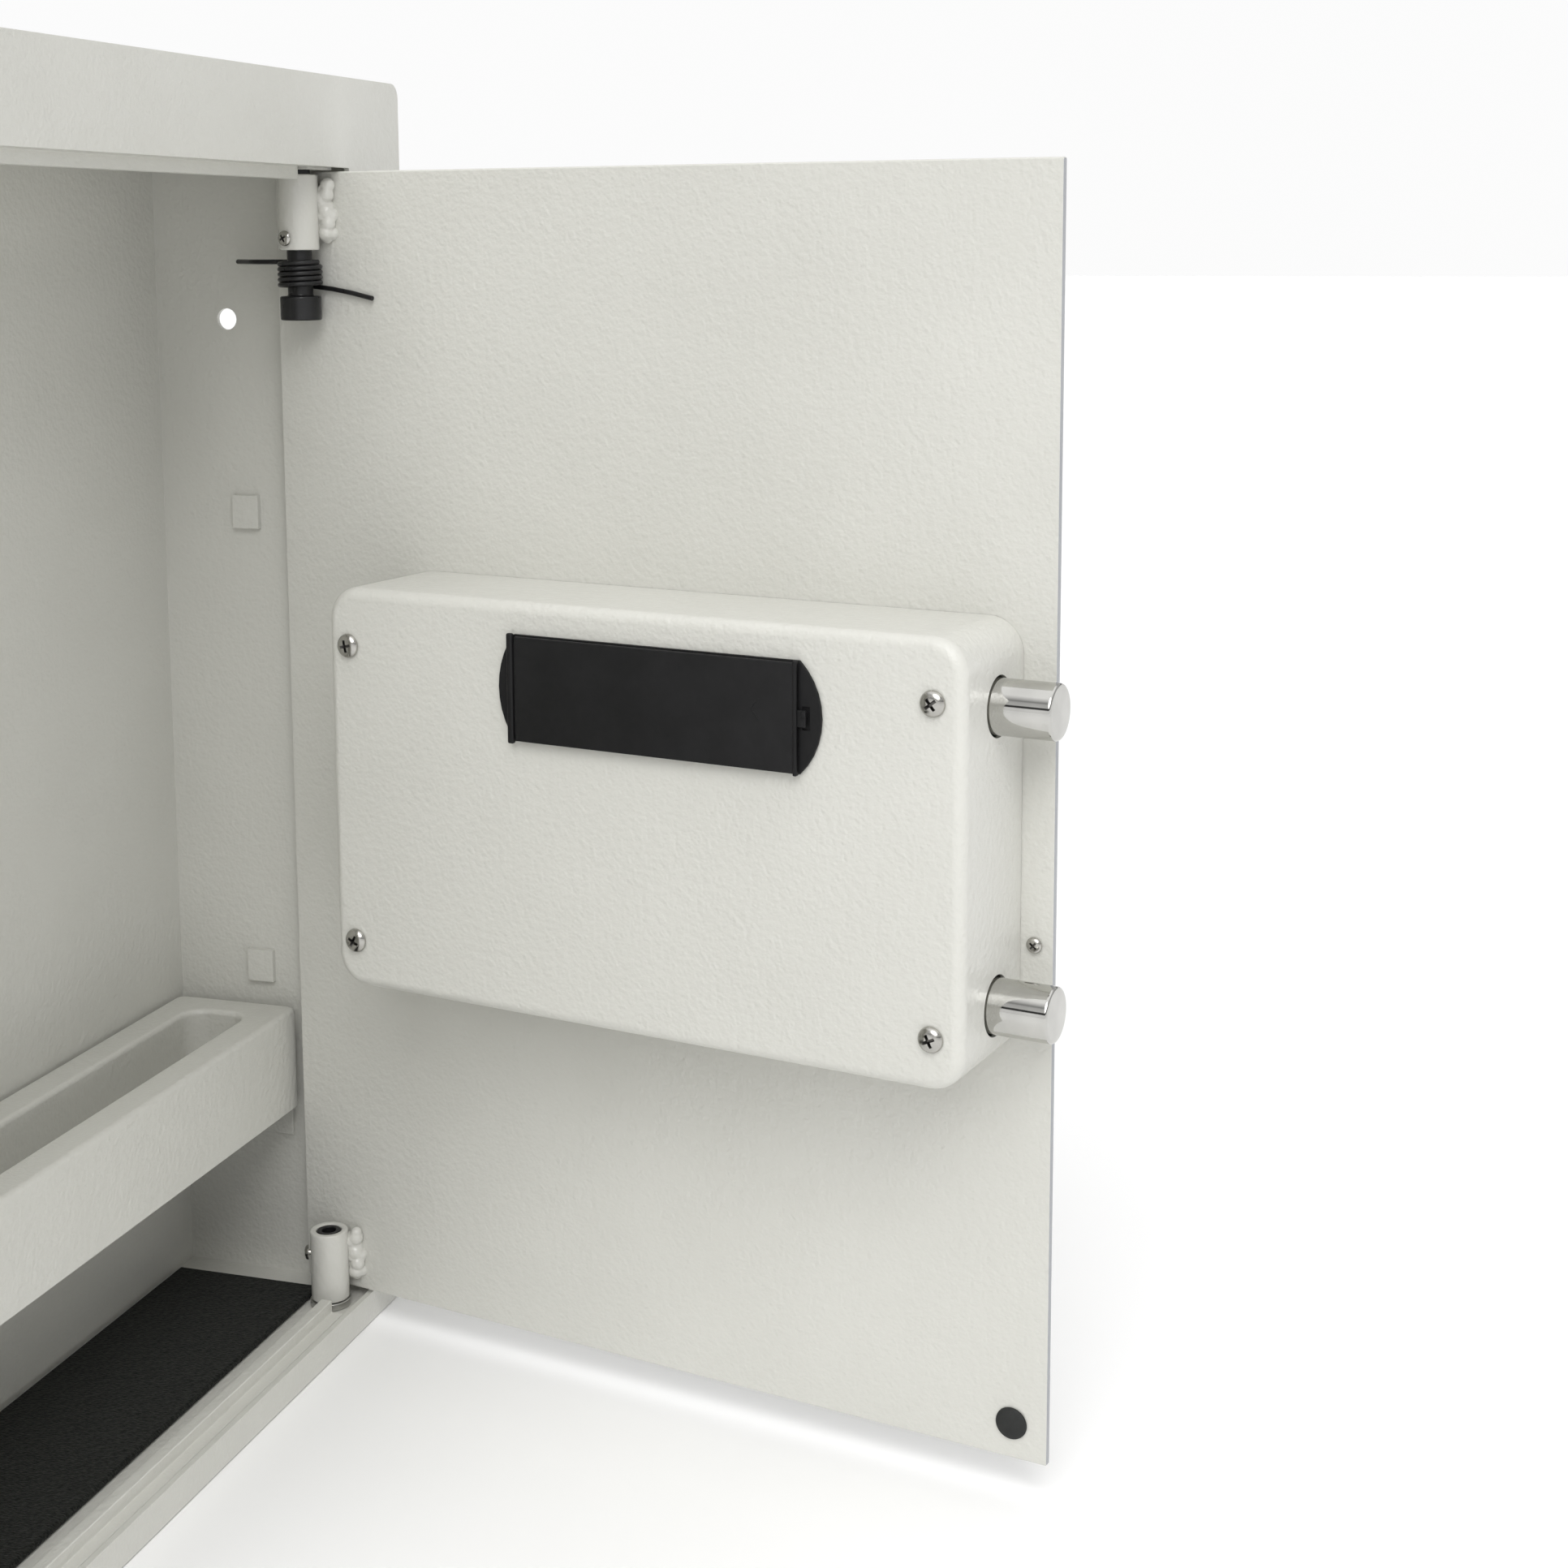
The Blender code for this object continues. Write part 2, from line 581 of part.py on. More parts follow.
def lock_cover():
    lo = on_door(COVER_FAR, GAP, COVER_LOW)
    hi = on_door(COVER_NEAR, COVER_DEEP, COVER_HIGH)
    middle = (lo + hi) / 2
    shape = bmesh.new()
    bmesh.ops.create_cube(shape, size=1)
    bmesh.ops.scale(shape, vec=hi - lo, verts=shape.verts)
    deep = [e for e in shape.edges if abs(e.verts[0].co.y - e.verts[1].co.y) > COVER_DEEP / 2]
    bmesh.ops.bevel(shape, geom=deep, offset=COVER_CORNER_R, segments=6, profile=0.5, affect="EDGES")
    door_side = [f for f in shape.faces if f.normal.y < -0.9]
    bmesh.ops.delete(shape, geom=door_side, context="FACES")
    face_y = max(v.co.y for v in shape.verts)
    front = [e for e in shape.edges if min(v.co.y for v in e.verts) > face_y - 1e-6]
    bmesh.ops.bevel(shape, geom=front, offset=COVER_EDGE_R, segments=4, profile=0.5, affect="EDGES")
    mesh = to_mesh(shape, "lock_cover")
    made = add("lock_cover", mesh, PAINT, door_axis, middle)
    shell = made.modifiers.new("sheet", "SOLIDIFY")
    shell.thickness = COVER_SHEET
    shell.offset = -1
    shell.use_even_offset = True
    for z in BOLT_ZS:
        start = on_door(COVER_FAR - 8 * MM, BOLT_C, z)
        cut_rod(made, BOLT_R + 0.8 * MM, start, on_door(COVER_FAR + 5 * MM, BOLT_C, z), door_axis, 32)
    for a in (SCREW_NEAR, SCREW_FAR):
        for z in (SCREW_LOW, SCREW_HIGH):
            start = on_door(a, COVER_DEEP - 8 * MM, z)
            cut_rod(made, 2.4 * MM, start, on_door(a, COVER_DEEP + 5 * MM, z), door_axis, 16)
    lo = on_door(HOLDER_NEAR + 0.5 * MM, COVER_DEEP - 8 * MM, HOLDER_LOW + 0.5 * MM)
    hi = on_door(HOLDER_FAR - 0.5 * MM, COVER_DEEP + 5 * MM, HOLDER_HIGH - 0.5 * MM)
    cut_box(made, lo, hi, door_axis)
    vent = on_door(147 * MM, COVER_DEEP - 7 * MM, COVER_LOW)
    cut_rod(made, 0.9 * MM, vent - Vector((0, 0, 5 * MM)), vent + Vector((0, 0, 8 * MM)), door_axis, 12)


def cover_brackets():
    """The guide bracket stands behind the bolts' ends, and the other holds the hinge-side screws."""
    top = COVER_DEEP - COVER_SHEET - 1.2 * MM
    up = Vector((0, 0, 1))
    web = 303 * MM
    path = [(web + 19 * MM, top), (web, top), (web, GAP), (web + 14 * MM, GAP)]
    path = [on_door(a, c, 0) for a, c in path]
    guide = folded("guide_bracket", path, BRACKET_SHEET, 165 * MM, 303 * MM, STEEL, door_axis, up)
    for z in BOLT_ZS:
        start = on_door(web - 8 * MM, BOLT_C, z)
        cut_rod(guide, BOLT_R + 0.35 * MM, start, on_door(web + 8 * MM, BOLT_C, z), door_axis, 32)
    near = SCREW_NEAR + 6 * MM
    foot = GAP + BRACKET_SHEET
    path = [(near + 10 * MM, foot), (near, foot), (near, top), (near - 13 * MM, top)]
    path = [on_door(a, c, 0) for a, c in path]
    held = folded("cover_bracket", path, BRACKET_SHEET, 170 * MM, 297 * MM, STEEL, door_axis, up)
    for made, a in ((guide, SCREW_FAR), (held, SCREW_NEAR)):
        for z in (SCREW_LOW, SCREW_HIGH):
            cut_rod(made, 2.3 * MM, on_door(a, top - 6 * MM, z), on_door(a, top + 6 * MM, z), door_axis, 16)


def cover_screws():
    count = 0
    for z in (SCREW_HIGH, SCREW_LOW):
        for a in (SCREW_NEAR, SCREW_FAR):
            count += 1
            foot = on_door(a, COVER_DEEP + GAP, z)
            name = f"cover_screw_{count}"
            screw(name, foot, (0, 1, 0), door_axis, 4.7 * MM, 2.6 * MM, 1.9 * MM, 9 * MM)


def battery_box():
    wall = 1.6 * MM
    face = COVER_DEEP + GAP
    near, far = HOLDER_NEAR + 1.3 * MM, HOLDER_FAR - 1.3 * MM
    low, high = HOLDER_LOW + 1.3 * MM, HOLDER_HIGH - 1.3 * MM
    hi = on_door(far, face + 1.4 * MM, high)
    made = box("battery_holder", on_door(near, HOLDER_BACK, low), hi, BLACK_PLASTIC, door_axis)
    mid_z = (HOLDER_LOW + HOLDER_HIGH) / 2
    half = (HOLDER_HIGH - HOLDER_LOW) / 2
    outline = []
    for end, bulge, way in ((HOLDER_FAR, 8.5 * MM, 1), (HOLDER_NEAR, 6.8 * MM, -1)):
        radius = (half * half + bulge * bulge) / (2 * bulge)
        turn = math.degrees(math.asin(half / radius))
        centre = end + way * (bulge - radius)
        swing = arc(0, 0, radius, -turn, turn, 10)
        outline += [(centre + way * x, way * y) for x, y in swing]
    outline = [(EDGE_TO_AXIS - a, z) for a, z in outline]
    seat = (0, INNER_FACE + face + 0.7 * MM, mid_z)
    flange = plate("battery_flange", (outline,), 1.4 * MM, None, door_axis, seat, (math.pi / 2, 0, 0))
    flange.hide_render = True
    flange.display_type = "WIRE"
    parts.objects.unlink(flange)
    cutters.objects.link(flange)
    combine(made, flange, "UNION")
    inner_lo = on_door(near + wall, HOLDER_BACK + wall, low + wall)
    cut_box(made, inner_lo, on_door(far - wall, face + 10 * MM, high - wall), door_axis)
    latch_lo = on_door(HOLDER_FAR + 1.2 * MM, face + 0.6 * MM, mid_z - 4 * MM)
    cut_box(made, latch_lo, on_door(HOLDER_FAR + 4 * MM, face + 5 * MM, mid_z + 4 * MM), door_axis)
    pitch = 2 * CELL_R + 1 * MM
    for i in range(4):
        row = mid_z + (0.5 - i // 2) * pitch
        start = near + wall + 3 * MM + (i % 2) * (CELL_LONG + 1.5 * MM)
        nub = 1.2 * MM
        profile = [(0, CELL_LONG), (2.7 * MM, CELL_LONG), (2.7 * MM, CELL_LONG - nub)]
        profile += [(CELL_R, CELL_LONG - nub), (CELL_R, 0), (0, 0)]
        spot = on_door(start, HOLDER_BACK + wall + CELL_R + GAP, row)
        turned(f"battery_{i + 1}", profile, CELL, door_axis, spot, (-1, 0, 0), 20)


def battery_cover():
    """The lid turns on the hooks at its hinge end; its latch tongue is at the other."""
    low_face = COVER_DEEP + 2.0 * MM
    top_face = COVER_DEEP + 4.0 * MM
    axis = on_door(HOLDER_NEAR - 1.2 * MM, low_face + 0.8 * MM, 0)
    pivot = empty("battery_cover_axis", door_axis, axis)
    near = -4.4 * MM
    far = EDGE_TO_AXIS - HOLDER_FAR - axis.x
    depth = top_face - low_face
    low_y = -0.8 * MM
    lo = (far, low_y, HOLDER_LOW)
    made = box("battery_cover", lo, (near, low_y + depth, HOLDER_HIGH), BLACK_PLASTIC, pivot)
    mid_z = (HOLDER_LOW + HOLDER_HIGH) / 2
    rib_lo = (near - 1 * MM, low_y, HOLDER_LOW + 1 * MM)
    join_box(made, rib_lo, (0.6 * MM, low_y + depth * 0.8, HOLDER_HIGH - 1 * MM), pivot)
    tongue_lo = (far - 3.2 * MM, low_y, mid_z - 3 * MM)
    join_box(made, tongue_lo, (far + 2 * MM, low_y + 1.2 * MM, mid_z + 3 * MM), pivot)


# Bolts, knob, solenoid and key


def bolts():
    far = BOLT_TIP
    slide = empty("bolt_slide_axis", door_axis, on_door(BOLT_TAIL, BOLT_C, KNOB_Z))
    base = slide.location
    for name, z in zip(("bolt_lower", "bolt_upper"), BOLT_ZS):
        start = on_door(BOLT_TAIL, BOLT_C, z) - base
        made = rod(name, BOLT_R, start, on_door(far, BOLT_C, z) - base, CHROME, slide, 32)
        bevel(made, 0.8 * MM)
    low, high = BOLT_ZS[0] - 9 * MM, BOLT_ZS[1] + 9 * MM
    arm_low, arm_high = 215 * MM, 253 * MM
    left, neck, right = 228 * MM, BOLT_TAIL, 293 * MM
    notch = PLUNGER_R + 0.6 * MM
    notch_top = arm_low + 5.5 * MM
    outline = [(right, low), (right, high), (neck, high), (neck, arm_high)]
    outline += [(left, arm_high), (left, arm_low)]
    outline += [(SOLENOID_A - notch, arm_low), (SOLENOID_A - notch, notch_top)]
    outline += [(SOLENOID_A + notch, notch_top), (SOLENOID_A + notch, arm_low)]
    outline += [(neck, arm_low), (neck, low)]
    slot_a = KNOB_A + BOLT_TRAVEL / 2
    half = CRANK_PIN_R + 0.65 * MM
    slot_low = KNOB_Z + CRANK_R * math.cos(math.radians(45)) - CRANK_PIN_R - 0.6 * MM
    slot_high = KNOB_Z + CRANK_R + CRANK_PIN_R + 0.6 * MM
    hole = [(slot_a - half, slot_low), (slot_a + half, slot_low)]
    hole += [(slot_a + half, slot_high), (slot_a - half, slot_high)]
    shapes = [[(EDGE_TO_AXIS - a - base.x, z - base.z) for a, z in s] for s in (outline, hole)]
    seat = (0, INNER_FACE + BAR_C + BAR_T / 2 - base.y, 0)
    plate("bolt_bar", shapes, BAR_T, STEEL, slide, seat, (math.pi / 2, 0, 0))


def knob_set():
    axis = empty("knob_axis", door_axis, on_door(KNOB_A, 0, KNOB_Z))
    outward = (0, -1, 0)
    cam_low, cam_high = 3.5 * MM, 6.7 * MM
    housing_face = -(DOOR_T + GAP + PAD_T)
    knob_foot = housing_face - 0.8 * MM
    rod("spindle", 4 * MM, (0, knob_foot - 13 * MM, 0), (0, cam_high, 0), STEEL, axis, 24)
    seat = (0, cam_low, 0)
    cam = ring("drive_cam", 18 * MM, 4.3 * MM, 0, cam_high - cam_low, STEEL, axis, seat, (0, 1, 0), 40)
    turn = math.radians(45)
    crank = Vector((-CRANK_R * math.sin(turn), 0, CRANK_R * math.cos(turn)))
    start = crank + Vector((0, cam_low + 1 * MM, 0))
    end = crank + Vector((0, BAR_C + BAR_T + 1.5 * MM, 0))
    combine(cam, rod("crank_pin", CRANK_PIN_R, start, end, None, axis, 20, cutters), "UNION")
    deep = 22 * MM
    profile = [(0, deep), (14 * MM, deep), (16.5 * MM, deep - 1 * MM), (17.5 * MM, deep - 3.5 * MM)]
    profile += [(18.5 * MM, 3 * MM), (21 * MM, 1.5 * MM), (21 * MM, 0), (4.3 * MM, 0)]
    profile += [(4.3 * MM, 14 * MM), (0, 14 * MM)]
    knob = turned("knob", profile, CHROME, axis, (0, knob_foot, 0), outward, 40)
    mark_lo = (-0.8 * MM, knob_foot - deep - 1 * MM, 5 * MM)
    cut_box(knob, mark_lo, (0.8 * MM, knob_foot - deep + 0.7 * MM, 13 * MM), axis)


def solenoid():
    low, high = 176 * MM, 204 * MM
    half = 9 * MM
    back = 0.5 * MM
    front = SOLENOID_C + 8.5 * MM
    path = [(front, low), (back, low), (back, high), (front, high)]
    path = [on_door(0, c, z) for c, z in path]
    start, end = -SOLENOID_A - half, -SOLENOID_A + half
    x_axis = Vector((1, 0, 0))
    frame = folded("solenoid_frame", path, 1.2 * MM, start, end, STEEL, door_axis, x_axis)
    cut_rod(
        frame,
        PLUNGER_R + 0.4 * MM,
        on_door(SOLENOID_A, SOLENOID_C, low + 10 * MM),
        on_door(SOLENOID_A, SOLENOID_C, high + 10 * MM),
        door_axis,
    )
    coil_low, coil_high = low + 1.6 * MM, high - 1.6 * MM
    seat = on_door(SOLENOID_A, SOLENOID_C, 0)
    ring("solenoid_coil", 7.4 * MM, PLUNGER_R + GAP, coil_low, coil_high, COPPER, door_axis, seat, steps=28)
    tip = on_door(SOLENOID_A, SOLENOID_C, PLUNGER_REST_TIP)
    tail = on_door(SOLENOID_A, SOLENOID_C, 184 * MM)
    made = rod("solenoid_plunger", PLUNGER_R, tail, tip, STEEL, door_axis, 20)
    bevel(made, 0.5 * MM)


def key_lock():
    face = -(DOOR_T + GAP + PAD_T)
    seat = on_door(KEY_A, 0, KEY_Z)
    body_r, bore_r = 7.5 * MM, 5.2 * MM
    high = face + PAD_WALL - 1 * MM
    profile = [(body_r, -high), (body_r, -7.0 * MM), (bore_r, -7.0 * MM), (bore_r, -high)]
    turned("key_lock_body", profile, STEEL, door_axis, seat, (0, -1, 0), 32, closed=True)
    axis = empty("key_axis", door_axis, seat)
    plug_face = face + 1.6 * MM
    plug = rod("key_plug", bore_r - GAP, (0, plug_face, 0), (0, 9.5 * MM, 0), CHROME, axis, 28)
    slot_lo = (-0.9 * MM, plug_face - 1 * MM, -3.5 * MM)
    cut_box(plug, slot_lo, (0.9 * MM, plug_face + 9 * MM, 3.5 * MM), axis)
    arm_lo = (-3.5 * MM, 7.6 * MM, -3.5 * MM)
    join_box(plug, arm_lo, (3.5 * MM, 9.4 * MM, 17 * MM), axis)


def keypad():
    back = -(DOOR_T + GAP)
    face = back - PAD_T
    lo = on_door(PAD_FAR, face, PAD_LOW)
    hi = on_door(PAD_NEAR, back, PAD_HIGH)
    made = box("keypad_housing", lo, hi, BLACK_PLASTIC, door_axis)
    bevel(made, 3 * MM, 2, 60)
    inner_lo = on_door(PAD_NEAR + PAD_WALL + 2 * MM, back + 2 * MM, PAD_LOW + PAD_WALL + 2 * MM)
    inner_hi = on_door(158 * MM, face + PAD_WALL, PAD_HIGH - PAD_WALL - 2 * MM)
    cut_box(made, inner_lo, inner_hi, door_axis)
    for a, z, radius in ((KNOB_A, KNOB_Z, 4.6 * MM), (KEY_A, KEY_Z, 8 * MM)):
        cut_rod(made, radius, on_door(a, face - 5 * MM, z), on_door(a, back + 5 * MM, z), door_axis, 32)
    names = ("1", "2", "3", "4", "5", "6", "7", "8", "9", "left", "0", "right")
    half_w, half_h = BUTTON[0] / 2, BUTTON[1] / 2
    for i, label in enumerate(names):
        a = BUTTON_A + (2 - i % 3) * BUTTON_PITCH[0]
        z = BUTTON_Z - (i // 3) * BUTTON_PITCH[1]
        play = 0.35 * MM
        hole_lo = on_door(a - half_w - play, face - 5 * MM, z - half_h - play)
        cut_box(made, hole_lo, on_door(a + half_w + play, face + 8 * MM, z + half_h + play), door_axis)
        key_lo = on_door(a - half_w, face - 2 * MM, z - half_h)
        key_hi = on_door(a + half_w, face + 5 * MM, z + half_h)
        box(f"button_{label}", key_lo, key_hi, GREY_PLASTIC, door_axis, 0.8 * MM)
    lens_z = 270 * MM
    lens_lo = on_door(BUTTON_A + 6 * MM, face - 0.5 * MM, lens_z - 1.5 * MM)
    lens_hi = on_door(BUTTON_A + 30 * MM, face + 1.6 * MM, lens_z + 1.5 * MM)
    play = Vector((GAP, 0, GAP))
    deep = Vector((0, 6 * MM, 0))
    hole_lo = Vector(map(min, lens_lo, lens_hi)) - play - deep
    cut_box(made, hole_lo, Vector(map(max, lens_lo, lens_hi)) + play + deep, door_axis)
    box("indicator_lens", lens_lo, lens_hi, LENS, door_axis, 0.4 * MM)
    board_lo = on_door(PAD_NEAR + 6 * MM, back - 3.6 * MM, PAD_LOW + 6 * MM)
    box("circuit_board", board_lo, on_door(156 * MM, back - 2 * MM, PAD_HIGH - 6 * MM), BOARD, door_axis)


def key_cover():
    """A round flap over the key lock that swings aside on its pin."""
    face = -(DOOR_T + GAP + PAD_T)
    pivot = empty("key_cover_axis", door_axis, on_door(KEY_A, face - GAP, KEY_Z + 13 * MM))
    flap = rod("key_cover", 10 * MM, (0, 0, -13 * MM), (0, -2 * MM, -13 * MM), GREY_PLASTIC, pivot, 36)
    join_box(flap, (-4 * MM, -2 * MM, -8 * MM), (4 * MM, 0, 3.5 * MM), pivot)
    bevel(flap, 0.4 * MM)


def lock():
    lock_cover()
    cover_brackets()
    cover_screws()
    battery_box()
    battery_cover()
    bolts()
    knob_set()
    solenoid()
    key_lock()
    keypad()
    key_cover()


cabinet()
door()
lock()
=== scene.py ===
"""Looks for the in-wall safe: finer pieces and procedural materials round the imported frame.

Door pieces are made in the door's own space, as if it were shut: x runs from the hinge axis away from the
free edge, y in from the door's face and z up from its lower edge.
"""
import json
import math
import random

import bmesh
import bpy
from mathutils import Matrix, Vector

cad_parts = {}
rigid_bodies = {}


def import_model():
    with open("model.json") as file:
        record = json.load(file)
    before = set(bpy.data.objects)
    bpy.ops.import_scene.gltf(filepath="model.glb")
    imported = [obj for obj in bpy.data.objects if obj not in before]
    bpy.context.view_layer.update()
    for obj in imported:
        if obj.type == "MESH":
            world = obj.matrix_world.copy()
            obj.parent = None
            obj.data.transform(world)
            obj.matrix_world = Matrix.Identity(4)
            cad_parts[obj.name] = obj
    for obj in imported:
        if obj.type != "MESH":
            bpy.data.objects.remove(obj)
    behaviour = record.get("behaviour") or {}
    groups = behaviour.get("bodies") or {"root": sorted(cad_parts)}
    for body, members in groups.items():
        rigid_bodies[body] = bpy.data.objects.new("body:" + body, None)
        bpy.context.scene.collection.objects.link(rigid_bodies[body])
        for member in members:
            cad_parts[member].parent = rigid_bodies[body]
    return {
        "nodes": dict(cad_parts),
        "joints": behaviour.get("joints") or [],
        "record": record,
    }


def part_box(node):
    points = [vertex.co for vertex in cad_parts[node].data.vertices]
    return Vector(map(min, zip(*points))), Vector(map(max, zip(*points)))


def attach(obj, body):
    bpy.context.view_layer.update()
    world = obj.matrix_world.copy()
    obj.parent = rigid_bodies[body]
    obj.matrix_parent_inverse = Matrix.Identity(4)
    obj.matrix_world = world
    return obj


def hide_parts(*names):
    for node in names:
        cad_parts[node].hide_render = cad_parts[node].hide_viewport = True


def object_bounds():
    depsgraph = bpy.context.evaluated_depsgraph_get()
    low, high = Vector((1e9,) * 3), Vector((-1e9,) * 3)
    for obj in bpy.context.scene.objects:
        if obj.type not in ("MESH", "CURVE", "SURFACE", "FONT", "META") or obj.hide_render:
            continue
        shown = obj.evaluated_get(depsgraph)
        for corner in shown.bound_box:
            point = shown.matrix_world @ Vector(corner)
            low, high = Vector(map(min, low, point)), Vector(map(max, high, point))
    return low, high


for old in list(bpy.data.objects):
    bpy.data.objects.remove(old)
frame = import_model()
cad_box = [list(corner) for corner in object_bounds()]

MM = 0.001
NOISE_LOW, NOISE_HIGH = 0.3, 0.7
BEVEL_ANGLE = 35
SLOT_TAPER, SLOT_NARROWING = 0.45, 0.7
UPPER_SCREW_ANGLE, LOWER_SCREW_ANGLE = 90, 39

SKY_BANDS = (
    (0.0, 1.0),
    (0.2, 1.0),
    (0.24, 0.05),
    (0.33, 0.05),
    (0.37, 0.75),
    (0.55, 0.65),
    (0.62, 0.35),
    (0.84, 1.3),
)
SKY_STRENGTH = 0.97
KEY_SPOT = (-1.3, -1.1, 1.5)
KEY_SIZE, KEY_POWER, KEY_COLOUR = 0.8, 7, (1, 0.995, 0.985)
SUN_FROM = (-0.72, -0.08, 0.69)
SUN_WIDTH, SUN_POWER = 45, 1.3
CAMERA_SPOT = (-0.6827, -0.5328, 0.2081)
CAMERA_LOOK = (0.95072, 0.28033, -0.13250)
CAMERA_UP = (0.12777, 0.03515, 0.99118)
CAMERA_LENS, CAMERA_SENSOR, CAMERA_SHIFT = 52.74, 36, -0.15

UP = Vector((0, 0, 1))
INWARD = Vector((0, 1, 0))
OUTWARD = Vector((0, -1, 0))
BODY = {node: body for body, nodes in frame["record"]["behaviour"]["bodies"].items() for node in nodes}
SLOT = {entry["node"]: entry["material_slot"] for entry in frame["record"]["subparts"]}
JOINT = {joint["name"]: joint for joint in frame["joints"]}

door_hinge = JOINT["door_hinge"]
open_angle = -math.radians(door_hinge["range_deg"][0])
hinge_spot = Vector(door_hinge["pos_m"][:2]).to_3d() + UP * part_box("door_plate")[0].z
DOOR = Matrix.Translation(hinge_spot) @ Matrix.Rotation(open_angle, 4, "Z")
WORLD = Matrix.Identity(4)


def span(node, space=DOOR):
    """The lowest and highest corners of a CAD node in a space of its own."""
    back = space.inverted()
    spots = [back @ vertex.co for vertex in frame["nodes"][node].data.vertices]
    return Vector(map(min, zip(*spots))), Vector(map(max, zip(*spots)))


# Materials


def shader_of(made):
    return made.node_tree.nodes["Principled BSDF"]


def blank(name, colour, roughness, metallic=0.0):
    made = bpy.data.materials.new(name)
    made.use_nodes = True
    shader = shader_of(made)
    shader.inputs["Base Color"].default_value = (*colour, 1)
    shader.inputs["Roughness"].default_value = roughness
    shader.inputs["Metallic"].default_value = metallic
    return made


def pattern(made, scale, detail=2.0, stretch=(1, 1, 1)):
    """A noise texture in the object's own metres; the scale is in features per metre."""
    tree = made.node_tree
    place = tree.nodes.new("ShaderNodeTexCoord")
    mapping = tree.nodes.new("ShaderNodeMapping")
    mapping.inputs["Scale"].default_value = stretch
    tree.links.new(place.outputs["Object"], mapping.inputs["Vector"])
    texture = tree.nodes.new("ShaderNodeTexNoise")
    texture.inputs["Scale"].default_value = scale
    texture.inputs["Detail"].default_value = detail
    tree.links.new(mapping.outputs["Vector"], texture.inputs["Vector"])
    return texture.outputs["Fac"]


def vary_colour(made, value, dark, light, start=NOISE_LOW, end=NOISE_HIGH):
    tree = made.node_tree
    ramp = tree.nodes.new("ShaderNodeValToRGB")
    for element, spot, colour in zip(ramp.color_ramp.elements, (start, end), (dark, light)):
        element.position = spot
        element.color = (*colour, 1)
    tree.links.new(value, ramp.inputs["Fac"])
    tree.links.new(ramp.outputs["Color"], shader_of(made).inputs["Base Color"])


def vary_roughness(made, value, low, high):
    tree = made.node_tree
    step = tree.nodes.new("ShaderNodeMapRange")
    step.inputs["From Min"].default_value = NOISE_LOW
    step.inputs["From Max"].default_value = NOISE_HIGH
    step.inputs["To Min"].default_value = low
    step.inputs["To Max"].default_value = high
    tree.links.new(value, step.inputs["Value"])
    tree.links.new(step.outputs["Result"], shader_of(made).inputs["Roughness"])


def emboss(made, *layers):
    """Bump layers of (texture value, depth in metres), one over the other."""
    tree = made.node_tree
    below = None
    for value, depth in layers:
        step = tree.nodes.new("ShaderNodeBump")
        step.inputs["Distance"].default_value = depth
        step.inputs["Strength"].default_value = 1.0
        tree.links.new(value, step.inputs["Height"])
        if below:
            tree.links.new(below, step.inputs["Normal"])
        below = step.outputs["Normal"]
    tree.links.new(below, shader_of(made).inputs["Normal"])


def powder_coat(name, dark, light, rough, pebble, pebble_depth):
    """Off-white powder coat with the fine hammered skin it cures to."""
    made = blank(name, light, rough)
    vary_colour(made, pattern(made, 11, 3), dark, light)
    vary_roughness(made, pattern(made, 160, 2), rough - 0.05, rough + 0.06)
    grain = pattern(made, pebble, 1.5)
    wave = pattern(made, pebble * 0.45, 1.0)
    emboss(made, (wave, pebble_depth * 2.2), (grain, pebble_depth))
    shader_of(made).inputs["Coat Weight"].default_value = 0.12
    shader_of(made).inputs["Coat Roughness"].default_value = 0.3
    return made


def metal(name, colour, rough, scratch, stretch=(1, 1, 1)):
    made = blank(name, colour, rough, 1.0)
    dark = [c * 0.86 for c in colour]
    vary_colour(made, pattern(made, 90, 4), dark, colour)
    vary_roughness(made, pattern(made, 700, 4, stretch), rough * 0.7, rough * 1.4)
    emboss(made, (pattern(made, 2600, 2, stretch), scratch))
    return made


def moulded(name, colour, rough, grain=2400, depth=0.02 * MM):
    made = blank(name, colour, rough)
    vary_colour(made, pattern(made, 60, 3), [c * 0.8 for c in colour], [c * 1.15 for c in colour])
    vary_roughness(made, pattern(made, 300, 3), rough - 0.07, rough + 0.07)
    emboss(made, (pattern(made, grain, 2), depth))
    return made


def felt():
    made = blank("felt_look", (0.03, 0.032, 0.03), 0.95)
    fibres = pattern(made, 1400, 5, (1, 0.35, 1))
    vary_colour(made, fibres, (0.005, 0.0055, 0.005), (0.034, 0.036, 0.031), 0.35, 0.75)
    emboss(made, (fibres, 0.5 * MM), (pattern(made, 300, 3), 0.6 * MM))
    shader_of(made).inputs["Sheen Weight"].default_value = 0.06
    shader_of(made).inputs["Specular IOR Level"].default_value = 0.15
    shader_of(made).inputs["Sheen Roughness"].default_value = 0.5
    return made


PAINT_DARK, PAINT_LIGHT = (0.60, 0.597, 0.555), (0.635, 0.632, 0.59)
THICK_DARK, THICK_LIGHT = (0.605, 0.60, 0.56), (0.64, 0.635, 0.595)
# Edge colours: the cooler tint is the edge's own, and the darkening below the face paint is painted shade.
EDGE_SHADE_DARK, EDGE_SHADE_LIGHT = (0.33, 0.34, 0.36), (0.37, 0.38, 0.40)
PAINT = powder_coat("paint_look", PAINT_DARK, PAINT_LIGHT, 0.36, 780, 0.16 * MM)
THICK_PAINT = powder_coat("thick_paint_look", THICK_DARK, THICK_LIGHT, 0.13, 420, 0.16 * MM)
# Paint for the door's free edge: a cooler tint with painted shade.
EDGE_TINT_AND_SHADE = powder_coat("edge_tint_and_painted_shade_look", EDGE_SHADE_DARK, EDGE_SHADE_LIGHT, 0.42, 900, 0.05 * MM)
CHROME = metal("chrome_look", (0.56, 0.555, 0.53), 0.06, 0.002 * MM, (1, 0.05, 1))
